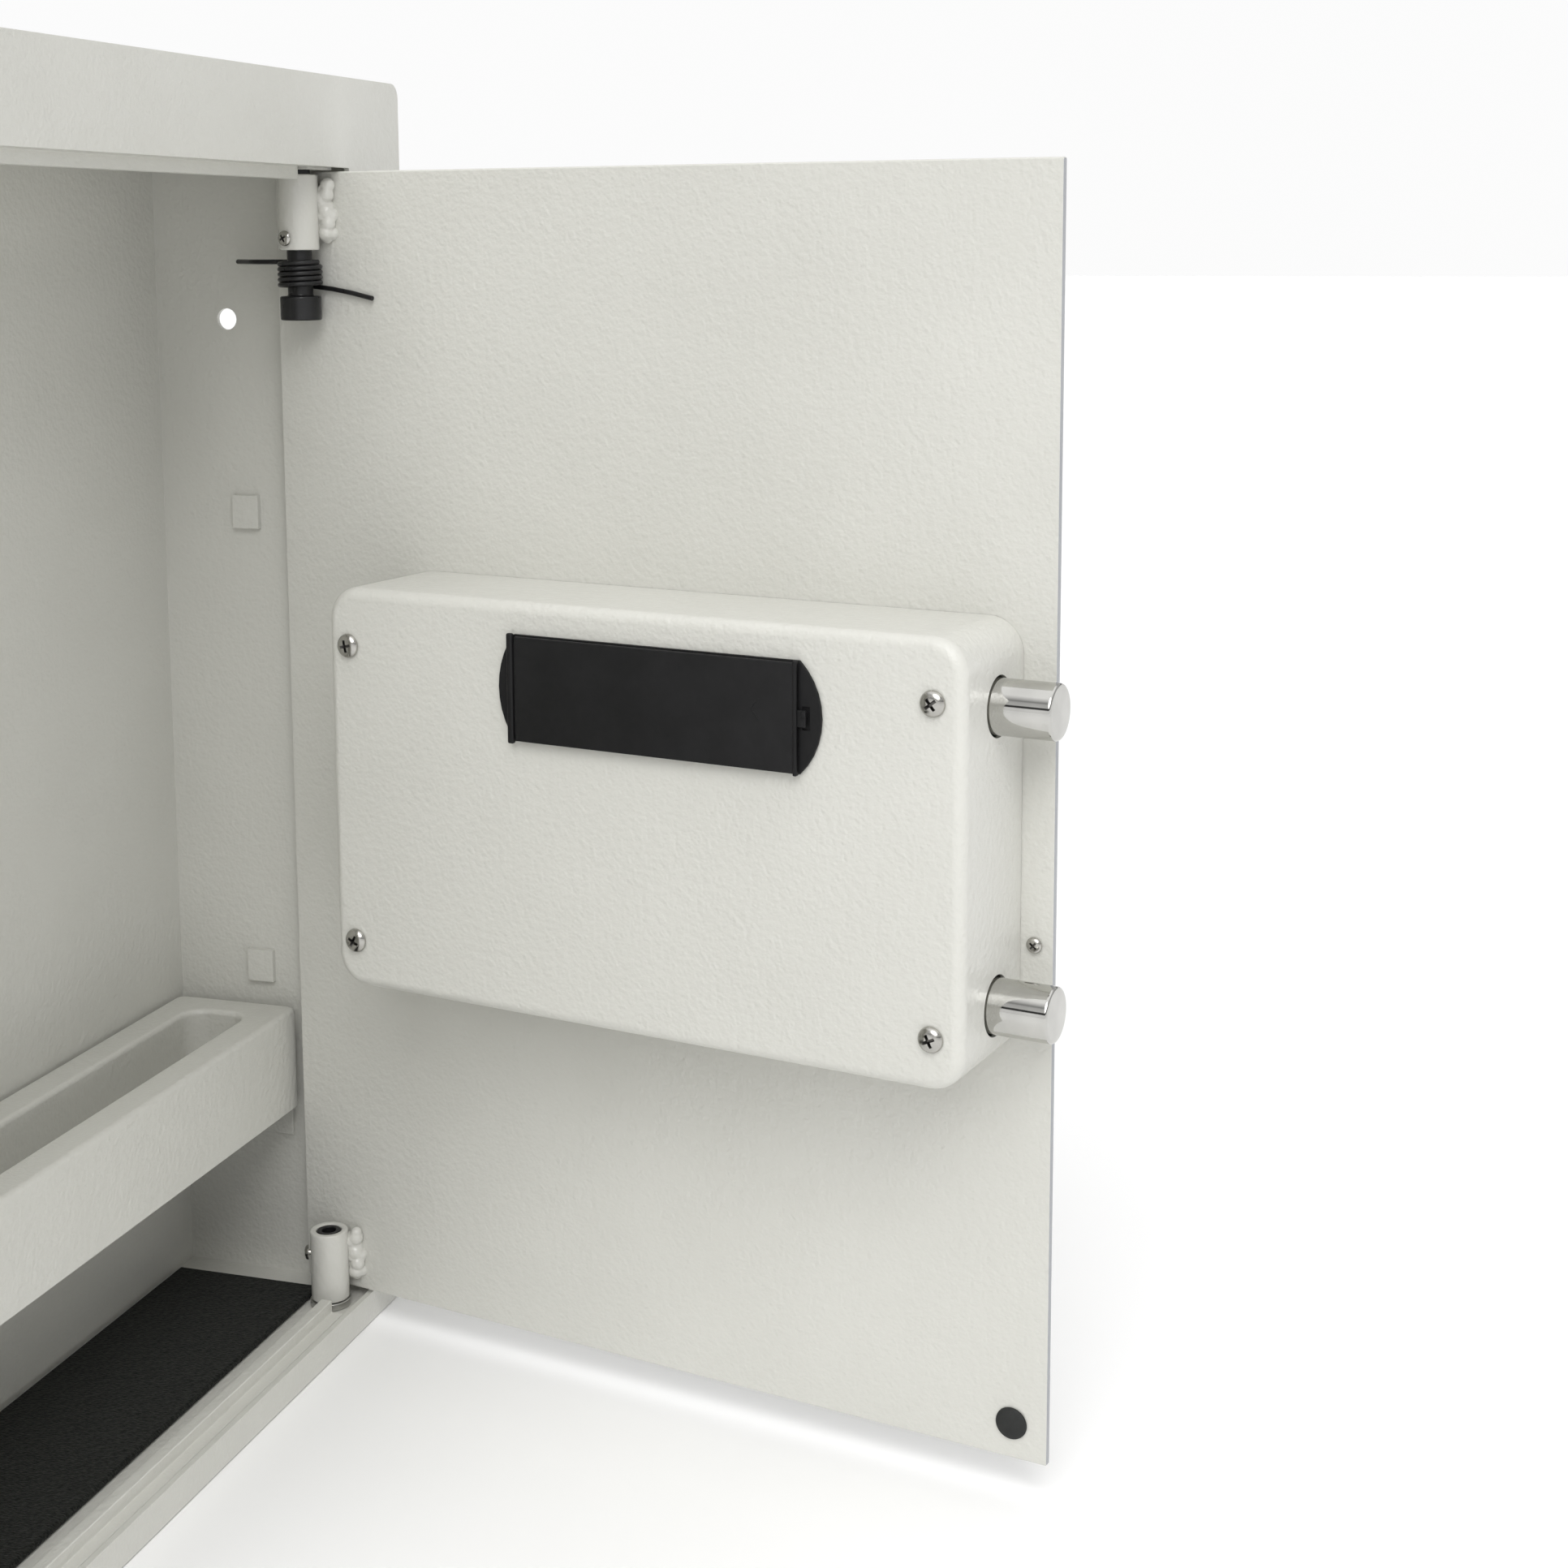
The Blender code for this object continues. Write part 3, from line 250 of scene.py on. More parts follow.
SCREW_METAL = metal("screw_look", (0.5, 0.49, 0.46), 0.2, 0.01 * MM)
# Dark metal for the screws' cross recesses: painted shade, since the recess is the same metal as the head.
RECESS_SHADE = metal("recess_painted_shade_look", (0.16, 0.155, 0.145), 0.4, 0.01 * MM)
ZINC = metal("zinc_look", (0.62, 0.62, 0.6), 0.36, 0.015 * MM)
BLACK_METAL = blank("black_oxide_look", (0.014, 0.014, 0.015), 0.34, 0.3)
vary_roughness(BLACK_METAL, pattern(BLACK_METAL, 500, 4), 0.26, 0.44)
emboss(BLACK_METAL, (pattern(BLACK_METAL, 1500, 3), 0.02 * MM))
PLASTIC = moulded("black_plastic_look", (0.0095, 0.0095, 0.01), 0.52)
shader_of(PLASTIC).inputs["Specular IOR Level"].default_value = 0.22
GREY_PLASTIC = moulded("grey_plastic_look", (0.42, 0.43, 0.44), 0.42)
INK = moulded("ink_look", (0.02, 0.02, 0.02), 0.45)
RUBBER = moulded("rubber_look", (0.013, 0.014, 0.013), 0.72, 1200, 0.05 * MM)
FELT = felt()
LENS = moulded("lens_look", (0.32, 0.012, 0.012), 0.16)
shader_of(LENS).inputs["Coat Weight"].default_value = 0.6
BOARD = moulded("board_look", (0.015, 0.10, 0.04), 0.45)
TAPE = moulded("coil_tape_look", (0.42, 0.18, 0.045), 0.45)
JACKET = moulded("cell_look", (0.08, 0.09, 0.1), 0.3)
LOOKS = {
    "cream_powder_coat": PAINT,
    "chrome": CHROME,
    "zinc_steel": ZINC,
    "black_oxide": BLACK_METAL,
    "black_plastic": PLASTIC,
    "button_grey": GREY_PLASTIC,
    "black_rubber": RUBBER,
    "grey_felt": FELT,
    "indicator_lens": LENS,
    "circuit_board": BOARD,
    "coil_tape": TAPE,
    "cell_jacket": JACKET,
}


# Mesh helpers


def piece(name, mesh, look, space, body, stands_for=()):
    """A new piece in its own space, riding on its CAD body."""
    made = bpy.data.objects.new(name, mesh)
    bpy.context.scene.collection.objects.link(made)
    made.matrix_world = space
    if look:
        mesh.materials.clear()
        mesh.materials.append(look)
    if body:
        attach(made, body)
    if stands_for:
        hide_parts(*stands_for)
    return made


def as_mesh(shape, name):
    mesh = bpy.data.meshes.new(name)
    shape.to_mesh(mesh)
    shape.free()
    return mesh


def round_off(mesh, angle=32):
    mesh.shade_smooth()
    mesh.set_sharp_from_angle(angle=math.radians(angle))


def settle(made, angle=32):
    """Turns a piece's modifiers into plain mesh and smooths its soft edges."""
    bpy.context.view_layer.update()
    mesh = bpy.data.meshes.new_from_object(made.evaluated_get(bpy.context.evaluated_depsgraph_get()))
    made.modifiers.clear()
    made.data = mesh
    round_off(mesh, angle)
    return made


def bevel(made, width, segments):
    step = made.modifiers.new("edges", "BEVEL")
    step.width = width
    step.segments = segments
    step.limit_method = "ANGLE"
    step.angle_limit = math.radians(BEVEL_ANGLE)
    step.harden_normals = False
    step.use_clamp_overlap = True


def even_normals(made):
    step = made.modifiers.new("normals", "WEIGHTED_NORMAL")
    step.keep_sharp = True


def cut(made, *tools):
    for tool in tools:
        step = made.modifiers.new("cut", "BOOLEAN")
        step.operation = "DIFFERENCE"
        step.object = tool
        step.solver = "EXACT"
    settle(made)
    for tool in tools:
        bpy.data.objects.remove(tool)


def ringed(rings, closed_low=True, closed_high=True):
    """A skin over rings of points that all have the same count."""
    shape = bmesh.new()
    rows = [[shape.verts.new(point) for point in ring] for ring in rings]
    count = len(rows[0])
    for below, above in zip(rows, rows[1:]):
        for i in range(count):
            j = (i + 1) % count
            shape.faces.new((below[i], below[j], above[j], above[i]))
    if closed_low:
        shape.faces.new(list(reversed(rows[0])))
    if closed_high:
        shape.faces.new(rows[-1])
    bmesh.ops.recalc_face_normals(shape, faces=shape.faces)
    return shape


def lathe(name, profile, look, space, body=None, stands_for=(), steps=64, closed=False):
    """A profile of (radius, height) points turned about z, solid if it starts and ends on the axis."""
    rings = []
    for radius, height in profile:
        radius = max(radius, 0.01 * MM)
        turns = [2 * math.pi * i / steps for i in range(steps)]
        rings.append([(radius * math.cos(t), radius * math.sin(t), height) for t in turns])
    if closed:
        rings.append(rings[0])
    shape = ringed(rings, not closed, not closed)
    if closed:
        bmesh.ops.remove_doubles(shape, verts=shape.verts, dist=0.001 * MM)
        bmesh.ops.recalc_face_normals(shape, faces=shape.faces)
    mesh = as_mesh(shape, name)
    round_off(mesh)
    return piece(name, mesh, look, space, body, stands_for)


def fillet(points, radius, steps=4):
    """A path with its inner corners rounded."""
    spots = [Vector(p) for p in points]
    path = [tuple(spots[0])]
    for before, corner, after in zip(spots, spots[1:], spots[2:]):
        reach = min(radius, (before - corner).length * 0.45, (after - corner).length * 0.45)
        start = corner + (before - corner).normalized() * reach
        end = corner + (after - corner).normalized() * reach
        for i in range(steps + 1):
            t = i / steps
            path.append(tuple(start.lerp(corner, t).lerp(corner.lerp(end, t), t)))
    path.append(tuple(spots[-1]))
    return path


def block(name, lo, hi, look, space, body=None, stands_for=(), edge=0.0, segments=3):
    lo, hi = Vector(map(min, lo, hi)), Vector(map(max, lo, hi))
    shape = bmesh.new()
    bmesh.ops.create_cube(shape, size=1)
    bmesh.ops.scale(shape, vec=hi - lo, verts=shape.verts)
    bmesh.ops.translate(shape, vec=(lo + hi) / 2, verts=shape.verts)
    if edge:
        bmesh.ops.bevel(
            shape, geom=shape.edges, offset=edge, segments=segments, profile=0.5, affect="EDGES"
        )
    mesh = as_mesh(shape, name)
    round_off(mesh, 50)
    return piece(name, mesh, look, space, body, stands_for)


def aimed(space, spot, towards):
    """A space whose z axis points along a direction of another space."""
    turn = UP.rotation_difference(Vector(towards)).to_matrix().to_4x4()
    return space @ Matrix.Translation(spot) @ turn


def refined(node, edge, segments=3):
    """A CAD node's shape as clean faces with softened edges."""
    slot = SLOT[node]
    shape = bmesh.new()
    shape.from_mesh(frame["nodes"][node].data)
    for layer in list(shape.loops.layers.float_vector.values()):
        shape.loops.layers.float_vector.remove(layer)
    bmesh.ops.remove_doubles(shape, verts=shape.verts, dist=0.002 * MM)
    bmesh.ops.dissolve_limit(
        shape, angle_limit=math.radians(1), verts=shape.verts, edges=shape.edges
    )
    mesh = as_mesh(shape, node + "_skin")
    for name in [a.name for a in mesh.attributes if a.name == "custom_normal"]:
        mesh.attributes.remove(mesh.attributes[name])
    made = piece(node + "_skin", mesh, LOOKS[slot], WORLD, BODY[node], (node,))
    bevel(made, edge, segments)
    settle(made, BEVEL_ANGLE)
    even_normals(made)
    return made


def rounded_ring(lo, hi, radius, height, steps=12):
    """A rectangle with round corners in x and z, at one y."""
    points = []
    corners = ((hi[0] - radius, hi[1] - radius), (lo[0] + radius, hi[1] - radius))
    corners += ((lo[0] + radius, lo[1] + radius), (hi[0] - radius, lo[1] + radius))
    for quarter, (x, z) in enumerate(corners):
        for i in range(steps + 1):
            t = math.pi / 2 * (quarter + i / steps)
            points.append((x + radius * math.cos(t), height, z + radius * math.sin(t)))
    return points


# Lock cover


def lock_cover():
    lo, hi = span("lock_cover")
    corner, edge, sheet = 13 * MM, 4.5 * MM, 1.5 * MM
    bolt_play, window_lap, window_rise, reach = 1.0 * MM, 4 * MM, 0.6 * MM, 5 * MM
    drain_x, drain_r = 84.3 * MM, 0.9 * MM
    rings = [rounded_ring((lo.x, lo.z), (hi.x, hi.z), corner, lo.y)]
    for i in range(9):
        t = math.pi / 2 * i / 8
        inset = edge * (1 - math.cos(t))
        flat_lo = (lo.x + inset, lo.z + inset)
        flat_hi = (hi.x - inset, hi.z - inset)
        height = hi.y - edge + edge * math.sin(t)
        rings.append(rounded_ring(flat_lo, flat_hi, corner - inset, height))
    made = piece(
        "lock_cover_skin",
        as_mesh(ringed(rings, closed_low=False), "lock_cover_skin"),
        PAINT,
        DOOR,
        "door",
        ("lock_cover",),
    )
    shell = made.modifiers.new("sheet", "SOLIDIFY")
    shell.thickness = sheet
    shell.offset = -1
    shell.use_even_offset = True
    tools = []
    for node in ("bolt_lower", "bolt_upper"):
        bolt_lo, bolt_hi = span(node)
        centre = (bolt_lo + bolt_hi) / 2
        radius = (bolt_hi.z - bolt_lo.z) / 2 + bolt_play
        seat = aimed(DOOR, (lo.x, centre.y, centre.z), (1, 0, 0))
        bore = [(0, -reach), (radius, -reach), (radius, reach), (0, reach)]
        tools.append(lathe("tool", bore, None, seat))
    cell_lo, cell_hi = span("battery_cover")
    window_lo = (cell_lo.x + window_lap, hi.y - reach, cell_lo.z + window_rise)
    window_hi = (cell_hi.x - window_lap, hi.y + reach, cell_hi.z - window_rise)
    tools.append(block("tool", window_lo, window_hi, None, DOOR))
    seat = DOOR @ Matrix.Translation((hi.x - drain_x, hi.y - edge - 2.5 * MM, lo.z))
    drain = [(0, -2 * MM), (drain_r, -2 * MM), (drain_r, 4 * MM), (0, 4 * MM)]
    tools.append(lathe("tool", drain, None, seat, steps=20))
    cut(made, *tools)
    even_normals(made)


# Screws


def pan_screw(name, node, towards, turn):
    """A pan head screw with a tapered cross recess, its head over the CAD screw's; the recess faces get a
    dark metal as painted shade.
    """
    lo, hi = span(node)
    middle = (lo + hi) / 2
    spots = [DOOR.inverted() @ v.co - middle for v in frame["nodes"][node].data.vertices]
    top = max(s.dot(towards) for s in spots)
    head_r = max((s - towards * s.dot(towards)).length for s in spots)
    head_h = 0.55 * head_r
    seat = aimed(DOOR, middle + towards * (top - head_h), towards)
    dome = [(0, head_h), (head_r * 0.35, head_h * 0.98), (head_r * 0.65, head_h * 0.86)]
    dome += [(head_r * 0.88, head_h * 0.6), (head_r * 0.98, head_h * 0.3), (head_r, head_h * 0.08)]
    dome += [(head_r * 0.97, 0), (head_r * 0.4, 0), (head_r * 0.4, -2 * head_h), (0, -2 * head_h)]
    made = lathe(name, dome, SCREW_METAL, seat, "door", (node,), 40)
    tools = []
    for quarter in (0, 90):
        shape = bmesh.new()
        bmesh.ops.create_cube(shape, size=1)
        bmesh.ops.scale(shape, vec=(head_r * 1.25, head_r * 0.26, head_h), verts=shape.verts)
        for vert in shape.verts:
            if vert.co.z < 0:
                vert.co.x *= SLOT_TAPER
                vert.co.y *= SLOT_NARROWING
        mesh = as_mesh(shape, "tool")
        rest = seat @ Matrix.Translation((0, 0, head_h * 0.72))
        rest = rest @ Matrix.Rotation(math.radians(turn + quarter), 4, "Z")
        tool = piece("tool", mesh, None, rest, None)
        mesh.materials.append(SCREW_METAL)
        mesh.materials.append(RECESS_SHADE)
        # The cutter's faces carry the dark recess metal into the screw: painted shade in the recess.
        for face in mesh.polygons:
            face.material_index = 1
        tools.append(tool)
    made.data.materials.append(RECESS_SHADE)
    cut(made, *tools)


def facing(angle):
    """A level direction in the door's space, in degrees from its x axis."""
    return Vector((math.cos(math.radians(angle)), math.sin(math.radians(angle)), 0))


def screws():
    turns = {"cover_screw_1": 12, "cover_screw_2": 38, "cover_screw_3": 63, "cover_screw_4": 25}
    for node, turn in turns.items():
        pan_screw(node + "_head", node, INWARD, turn)
    pan_screw("door_screw_head", "door_screw", INWARD, 50)
    pan_screw("hinge_set_screw_top_head", "hinge_set_screw_top", INWARD, 30)
    way = facing(LOWER_SCREW_ANGLE)
    pan_screw("hinge_set_screw_bottom_head", "hinge_set_screw_bottom", way, 10)


# Hinges


def weld(name, path, radius, seed):
    """A lumpy bead of weld along a path in the door's space, painted over."""
    draw = random.Random(seed)
    shape = bmesh.new()
    for spot in path:
        size = radius * draw.uniform(0.6, 1.25)
        jitter = Vector([draw.uniform(-0.5, 0.5) * radius for _ in range(3)])
        place = Matrix.Translation(Vector(spot) + jitter) @ Matrix.Diagonal((size, size, size, 1))
        bmesh.ops.create_icosphere(shape, subdivisions=2, radius=1, matrix=place)
    made = piece(name, as_mesh(shape, name), THICK_PAINT, DOOR, "door")
    joined = made.modifiers.new("joined", "REMESH")
    joined.mode = "VOXEL"
    joined.voxel_size = 0.35 * MM
    soft = made.modifiers.new("soft", "SMOOTH")
    soft.factor = 0.5
    soft.iterations = 5
    settle(made, 80)


def upright(x, y, low, high):
    """Points one above the other, a drop of weld apart."""
    step = 1.15 * MM
    count = int((high - low) / step) + 1
    return [(x, y, low + i * step) for i in range(count)]


def hinges():
    for node, name in (("hinge_barrel_top", "top"), ("hinge_barrel_bottom", "bottom")):
        lo, hi = span(node)
        radius, bore, rim = hi.x, 5.3 * MM, 0.8 * MM
        long = hi.z - lo.z
        profile = [(bore, long), (radius, long), (radius, 0), (bore, 0)]
        profile = fillet([(bore, long * 0.5)] + profile + [(bore, long * 0.5)], rim)
        seat = DOOR @ Matrix.Translation((0, 0, lo.z))
        made = lathe(
            f"{name}_barrel_skin",
            profile[:-1],
            THICK_PAINT,
            seat,
            "door",
            (node,),
            72,
            closed=True,
        )
        face = span("door_plate")[1].y
        angle = UPPER_SCREW_ANGLE if name == "top" else LOWER_SCREW_ANGLE
        screw_lo, screw_hi = span(f"hinge_set_screw_{name}")
        way = facing(angle)
        seat = aimed(DOOR, way * 7 * MM + UP * (screw_lo.z + screw_hi.z) / 2, way)
        hole = [(0, -2 * MM), (2 * MM, -2 * MM), (2 * MM, 4 * MM), (0, 4 * MM)]
        cut(made, lathe("tool", hole, None, seat, steps=24))
        free_x, hinge_x = -8.0 * MM, 8.2 * MM
        low = lo.z + (4.5 * MM if name == "top" else 8 * MM)
        high = hi.z - 3.5 * MM
        path = upright(free_x, face + 1.6 * MM, low, high)
        weld(f"{name}_weld_free_side", path, 3.1 * MM, 3)
        path = upright(hinge_x, face + 1.2 * MM, low + 4 * MM, high)
        weld(f"{name}_weld_edge_side", path, 2.2 * MM, 5)
    lo, hi = span("hinge_pin_top")
    head_r, shank_r = hi.x, 5 * MM
    collar = lo.z + 9.7 * MM
    outline = [(0, hi.z), (shank_r, hi.z), (shank_r, collar), (head_r, collar)]
    outline += [(head_r, lo.z), (0, lo.z)]
    outline = fillet(outline, 0.9 * MM)
    replaced = ("hinge_pin_top",)
    lathe("pin_top_skin", outline, BLACK_METAL, DOOR, "door", replaced)
    lo, hi = span("hinge_pin_bottom")
    socket_r, rim = 3 * MM, 0.4 * MM
    outline = [(0, hi.z - 4 * MM), (socket_r, hi.z - 4 * MM), (socket_r, hi.z), (shank_r, hi.z)]
    outline += [(shank_r, lo.z), (0, lo.z)]
    outline = fillet(outline, rim)
    replaced = ("hinge_pin_bottom",)
    lathe("pin_bottom_skin", outline, BLACK_METAL, DOOR, "door", replaced)


def wire(name, path, radius, body, stands_for=()):
    """A round wire along a path in the door's space."""
    spots = [Vector(p) for p in path]
    sides = 14
    rings = []
    side = UP
    for i, spot in enumerate(spots):
        along = (spots[min(i + 1, len(spots) - 1)] - spots[max(i - 1, 0)]).normalized()
        side = side - along * side.dot(along)
        side.normalize()
        other = along.cross(side)
        turns = [2 * math.pi * k / sides for k in range(sides)]
        rings.append([spot + (side * math.cos(t) + other * math.sin(t)) * radius for t in turns])
    mesh = as_mesh(ringed(rings), name)
    round_off(mesh, 50)
    return piece(name, mesh, BLACK_METAL, DOOR, body, stands_for)


def torsion_spring():
    """The coil and its door leg go with the door, and the wall leg stays with the cabinet."""
    radius, thick, pitch = 8 * MM, 0.98 * MM, 2.08 * MM
    low = span("torsion_spring")[0].z + 5 * MM
    start, turns, steps = math.radians(-90), 4.78, 40
    leg = [
        (-30 * MM, -radius + 0.3 * MM, low - 4.6 * MM),
        (-20 * MM, -radius, low - 2.6 * MM),
        (-10 * MM, -radius, low - 1 * MM),
    ]
    count = round(turns * steps)
    coil = []
    for i in range(count + 1):
        t = start + 2 * math.pi * turns * i / count
        coil.append((radius * math.cos(t), radius * math.sin(t), low + pitch * turns * i / count))
    wire("spring_coil", leg + coil, thick, "door", ("torsion_spring",))
    end = Vector((radius, 0, 0))
    end.rotate(Matrix.Rotation(-open_angle, 3, "Z"))
    top = low + pitch * turns - 0.1 * MM
    into_wall = Vector((math.sin(open_angle), math.cos(open_angle), 0))
    across = Vector((math.cos(open_angle), -math.sin(open_angle), 0))
    route = ((-1.5, 0), (3, -0.1), (12, -1.2), (19, -2), (23, -1.7), (27, 0.6), (38, 10))
    path = [end + UP * top + (into_wall * deep + across * aside) * MM for deep, aside in route]
    wire("spring_wall_leg", path, thick, "cabinet")


# Bolts


def bolts():
    for node in ("bolt_lower", "bolt_upper"):
        lo, hi = span(node)
        radius = (hi.z - lo.z) / 2
        long = hi.x - lo.x
        seat = aimed(DOOR, (lo.x, (lo.y + hi.y) / 2, (lo.z + hi.z) / 2), (1, 0, 0))
        end = fillet([(0, 0), (radius, 0), (radius, long), (0, long)], 1.3 * MM, 6)
        lathe(node + "_skin", end, CHROME, seat, "bolts", (node,), 128)


# Battery lid and holder


def battery_lid():
    """A flat lid with a rib at its hinge end, a raised lip at the other and a tongue in the latch notch."""
    refined("battery_holder", 0.3 * MM, 2)
    lo, hi = span("battery_cover")
    middle = (lo.z + hi.z) / 2
    rib_x = hi.x - 2.6 * MM
    lip_x = lo.x + 3.2 * MM
    sink, margin, gap = 0.25 * MM, 0.5 * MM, 0.7 * MM
    low = (lip_x, lo.y, lo.z + margin)
    high = (rib_x - gap, hi.y - sink, hi.z - margin)
    body, slot = "battery_cover", "black_plastic"
    block("battery_lid_skin", low, high, PLASTIC, DOOR, body, ("battery_cover",), margin)
    extra = (
        (
            "battery_lid_rib",
            (rib_x, lo.y, lo.z - 0.6 * MM),
            (hi.x, hi.y, hi.z + 0.6 * MM),
            0.7 * MM,
        ),
        (
            "battery_lid_web",
            (rib_x - 1 * MM, lo.y, lo.z + 3 * MM),
            (rib_x + 1 * MM, hi.y - 1.2 * MM, hi.z - 3 * MM),
            0.1 * MM,
        ),
        (
            "battery_lid_lip",
            (lip_x, lo.y, lo.z - 0.2 * MM),
            (lip_x + 1.5 * MM, hi.y + 0.1 * MM, hi.z + 0.2 * MM),
            0.4 * MM,
        ),
        (
            "battery_lid_tongue",
            (lo.x, lo.y, middle - 3 * MM),
            (lip_x + 1 * MM, lo.y + 1.2 * MM, middle + 3 * MM),
            0.3 * MM,
        ),
        (
            "battery_lid_tab",
            (lo.x - 0.2 * MM, lo.y, middle + 0.5 * MM),
            (lo.x + 1.8 * MM, lo.y + 1.7 * MM, middle + 2.6 * MM),
            0.25 * MM,
        ),
    )
    for name, low, high, edge in extra:
        block(name, low, high, PLASTIC, DOOR, body, edge=edge)
    arrow_spot = Matrix.Translation((lo.x + 21 * MM, hi.y - 0.35 * MM, middle + 2 * MM))
    arrow_turn = math.radians(52)
    for way, name in ((-1, "battery_lid_arrow_lower"), (1, "battery_lid_arrow_upper")):
        seat = DOOR @ arrow_spot @ Matrix.Rotation(way * arrow_turn, 4, "Y")
        low, high = (-5 * MM, 0, -0.25 * MM), (0, 0.22 * MM, 0.25 * MM)
        block(name, low, high, PLASTIC, seat, body, edge=0.08 * MM)


# Door, cabinet and shelf


def door_plate():
    """The plate is painted all over; its cut free edge gets a cooler, darker paint: the bluish tint is the
    edge's own, the darkening is painted shade for the side that faces away from the light.
    """
    faces_free_edge = -0.85
    made = refined("door_plate", 0.15 * MM, 1)
    made.data.materials.append(EDGE_TINT_AND_SHADE)
    back = DOOR.inverted().to_3x3()
    for face in made.data.polygons:
        normal = back @ face.normal
        # Faces turned to the free edge take the darker edge paint: painted shade with a cooler tint.
        if normal.x < faces_free_edge:
            face.material_index = 1


def bumper():
    lo, hi = span("door_bumper")
    radius = (hi.x - lo.x) / 2
    high = hi.y - lo.y
    seat = aimed(DOOR, ((lo.x + hi.x) / 2, lo.y, (lo.z + hi.z) / 2), INWARD)
    profile = [(0, high), (radius * 0.55, high * 0.97), (radius * 0.86, high * 0.86)]
    profile += [(radius * 0.98, high * 0.5), (radius, high * 0.1), (radius * 0.98, 0), (0, 0)]
    lathe("door_bumper_skin", profile, RUBBER, seat, "door", ("door_bumper",), 56)


def shelf():
    """The tray's skirt, wide rim and sunk pocket, with rounder corners than the frame has."""
    lo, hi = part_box("shelf")
    rim, pocket, sheet = 15 * MM, 28 * MM, 1.2 * MM
    outer, inner, lip = 3 * MM, 9 * MM, 2.2 * MM

    def ring(inset, radius, z):
        flat = rounded_ring((lo.x + inset, lo.y + inset), (hi.x - inset, hi.y - inset), radius, z, 8)
        return [(x, y, height) for x, height, y in flat]

    foot = 3 * MM
    quarter = [math.pi / 2 * i / 5 for i in range(6)]
    rings = [ring(0, outer, lo.z)]
    for t in quarter:
        rings.append(ring(lip * (1 - math.cos(t)), outer, hi.z - lip + lip * math.sin(t)))
    for t in quarter:
        inset = rim - lip + lip * math.sin(t)
        corner = inner + lip * (1 - math.sin(t))
        rings.append(ring(inset, corner, hi.z - lip * (1 - math.cos(t))))
    for t in quarter:
        inset = rim + foot * (1 - math.cos(t))
        rings.append(ring(inset, inner, hi.z - pocket + foot * (1 - math.sin(t))))
    mesh = as_mesh(ringed(rings, False), "shelf_skin")
    made = piece("shelf_skin", mesh, PAINT, WORLD, "shelf", ("shelf",))
    shell = made.modifiers.new("sheet", "SOLIDIFY")
    shell.thickness = sheet
    shell.offset = -1
    settle(made)
    even_normals(made)


def cabinet():
    refined("cabinet_shell", 0.8 * MM)
    refined("front_frame", 0.9 * MM, 3)
    for node in ("stop_bottom", "stop_top", "stop_left", "shelf_rail_left", "shelf_rail_right"):
        refined(node, 0.5 * MM)
    refined("floor_mat", 0.5 * MM)
    refined("hinge_washer", 0.2 * MM, 1)


# Keypad side


def keypad():
    refined("keypad_housing", 0.25 * MM, 2)
    for node in [n for n in BODY if n.startswith("button_")]:
        label = node.split("_")[1]
        lo, hi = span(node)
        block(node + "_cap", lo, hi, GREY_PLASTIC, DOOR, node, (node,), 1.1 * MM, 5)
        seat = Vector(((lo.x + hi.x) / 2, lo.y, (lo.z + hi.z) / 2))
        glyph = {"left": "<", "right": ">"}.get(label, label)
        font = bpy.data.curves.new("digit", "FONT")
        font.body = glyph
        font.size = 8.2 * MM
        font.extrude = 0.12 * MM
        font.align_x = "CENTER"
        font.align_y = "CENTER"
        turn = Matrix.Rotation(math.pi / 2, 4, "X")
        shown = bpy.data.objects.new("digit", font)
        bpy.context.scene.collection.objects.link(shown)
        bpy.context.view_layer.update()
        mesh = bpy.data.meshes.new_from_object(shown.evaluated_get(bpy.context.evaluated_depsgraph_get()))
        bpy.data.objects.remove(shown)
        piece(f"digit_{label}", mesh, INK, DOOR @ Matrix.Translation(seat) @ turn, node)
    lo, hi = span("indicator_lens")
    block("indicator_lens_cap", lo, hi, LENS, DOOR, "door", ("indicator_lens",), 0.6 * MM)
    refined("key_cover", 0.35 * MM)


def knob():
    lo, hi = span("knob")
    radius, long = (hi.x - lo.x) / 2, hi.y - lo.y
    centre = ((lo.x + hi.x) / 2, hi.y, (lo.z + hi.z) / 2)
    seat = aimed(DOOR, centre, OUTWARD)
    steps, ribs = 144, 24
    profile = [(radius, 0), (radius, 1.2 * MM), (radius - 2 * MM, 2.2 * MM), (radius - 2.8 * MM, 3.4 * MM)]
    profile += [(radius - 3.6 * MM, long - 3.5 * MM), (radius - 4.4 * MM, long - 1.3 * MM)]
    profile += [(radius - 6 * MM, long - 0.2 * MM), (radius - 8 * MM, long), (6 * MM, long - 0.6 * MM)]
    profile.append((0.01 * MM, long - 0.7 * MM))
    rings = []
    for r, z in profile:
        grip = 0.45 * MM if 3 * MM < z < long - 1.4 * MM else 0.0
        turns = [2 * math.pi * i / steps for i in range(steps)]
        spread = [r - grip * (0.5 + 0.5 * math.cos(ribs * t)) ** 2 for t in turns]
        rings.append([(s * math.cos(t), s * math.sin(t), z) for s, t in zip(spread, turns)])
    mesh = as_mesh(ringed(rings), "knob_skin")
    round_off(mesh, 40)
    piece("knob_skin", mesh, CHROME, seat, "knob", ("knob",))
    mark_lo = (-0.7 * MM, 6 * MM, long - 1 * MM)
    mark_hi = (0.7 * MM, radius - 8 * MM, long)
    block("knob_mark", mark_lo, mark_hi, INK, seat, "knob", edge=0.15 * MM)


def inner_pieces():
    """The pieces inside the lock keep their CAD shapes, with the looks of their materials."""
    for node, made in frame["nodes"].items():
        if made.hide_render:
            continue
        for i in range(len(made.data.materials)):
            made.data.materials[i] = LOOKS[SLOT[node]]


# Stage, light and camera


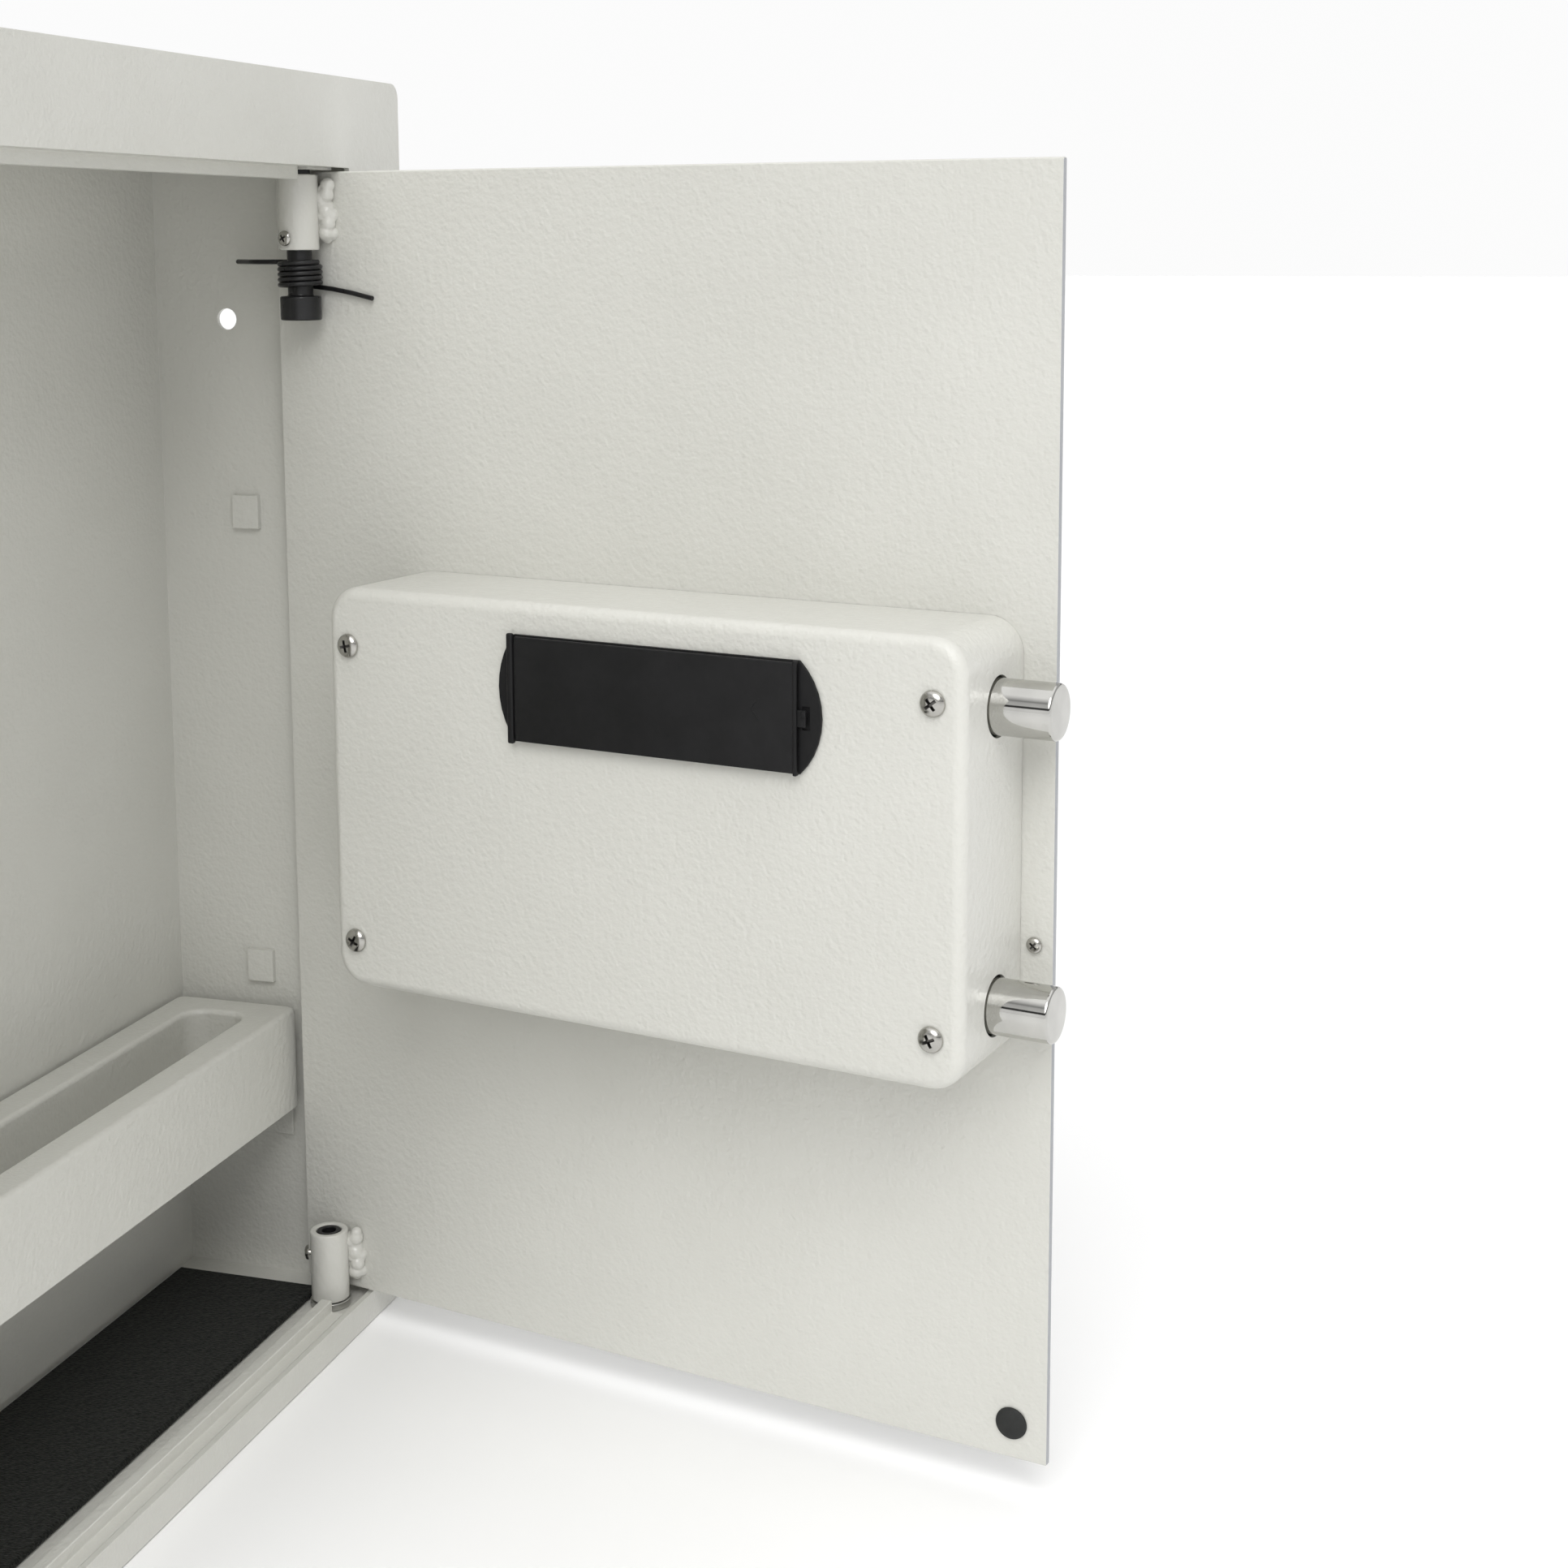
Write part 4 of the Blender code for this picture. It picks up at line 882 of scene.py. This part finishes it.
def studio():
    """A pale floor, one soft lamp, a wide soft sun and a world of light and dark bands."""
    shape = bmesh.new()
    bmesh.ops.create_grid(shape, x_segments=1, y_segments=1, size=30)
    floor = bpy.data.objects.new("floor", as_mesh(shape, "floor"))
    floor.location.z = cad_box[0][2] - 0.4 * MM
    bpy.context.scene.collection.objects.link(floor)
    floor.data.materials.append(blank("floor_look", (0.95, 0.95, 0.95), 0.8))
    world = bpy.data.worlds.new("studio")
    world.use_nodes = True
    tree = world.node_tree
    place = tree.nodes.new("ShaderNodeTexCoord")
    parts = tree.nodes.new("ShaderNodeSeparateXYZ")
    ramp = tree.nodes.new("ShaderNodeValToRGB")
    tree.links.new(place.outputs["Generated"], parts.inputs["Vector"])
    tree.links.new(parts.outputs["Z"], ramp.inputs["Fac"])
    tree.links.new(ramp.outputs["Color"], tree.nodes["Background"].inputs["Color"])
    stops = ramp.color_ramp.elements
    while len(stops) < len(SKY_BANDS):
        stops.new(0.5)
    for stop, (height, bright) in zip(stops, SKY_BANDS):
        stop.position = height
        stop.color = (bright, bright, bright, 1)
    tree.nodes["Background"].inputs["Strength"].default_value = SKY_STRENGTH
    bpy.context.scene.world = world
    lamp = bpy.data.lights.new("key", "AREA")
    lamp.shape = "RECTANGLE"
    lamp.size, lamp.size_y = KEY_SIZE, KEY_SIZE
    lamp.energy = KEY_POWER
    lamp.color = KEY_COLOUR
    key = bpy.data.objects.new("key", lamp)
    bpy.context.scene.collection.objects.link(key)
    key.location = KEY_SPOT
    target = DOOR @ Vector((-170 * MM, 0, 236 * MM)) + Vector((0, -0.15, 0.2))
    key.rotation_euler = (target - Vector(KEY_SPOT)).to_track_quat("-Z", "Y").to_euler()
    sun = bpy.data.lights.new("soft_sky", "SUN")
    sun.energy = SUN_POWER
    sun.angle = math.radians(SUN_WIDTH)
    made = bpy.data.objects.new("soft_sky", sun)
    made.rotation_euler = Vector(SUN_FROM).to_track_quat("Z", "Y").to_euler()
    bpy.context.scene.collection.objects.link(made)
    bpy.context.scene.view_settings.view_transform = "Standard"


def camera():
    data = bpy.data.cameras.new("camera")
    data.lens = CAMERA_LENS
    data.sensor_width = CAMERA_SENSOR
    data.shift_y = CAMERA_SHIFT
    made = bpy.data.objects.new("camera", data)
    look = Vector(CAMERA_LOOK).normalized()
    side = look.cross(Vector(CAMERA_UP)).normalized()
    above = side.cross(look)
    turn = Matrix((side, above, -look)).transposed().to_4x4()
    made.matrix_world = Matrix.Translation(CAMERA_SPOT) @ turn
    bpy.context.scene.collection.objects.link(made)
    bpy.context.scene.camera = made


lock_cover()
screws()
hinges()
torsion_spring()
bolts()
battery_lid()
door_plate()
bumper()
shelf()
cabinet()
keypad()
knob()
inner_pieces()
studio()
camera()
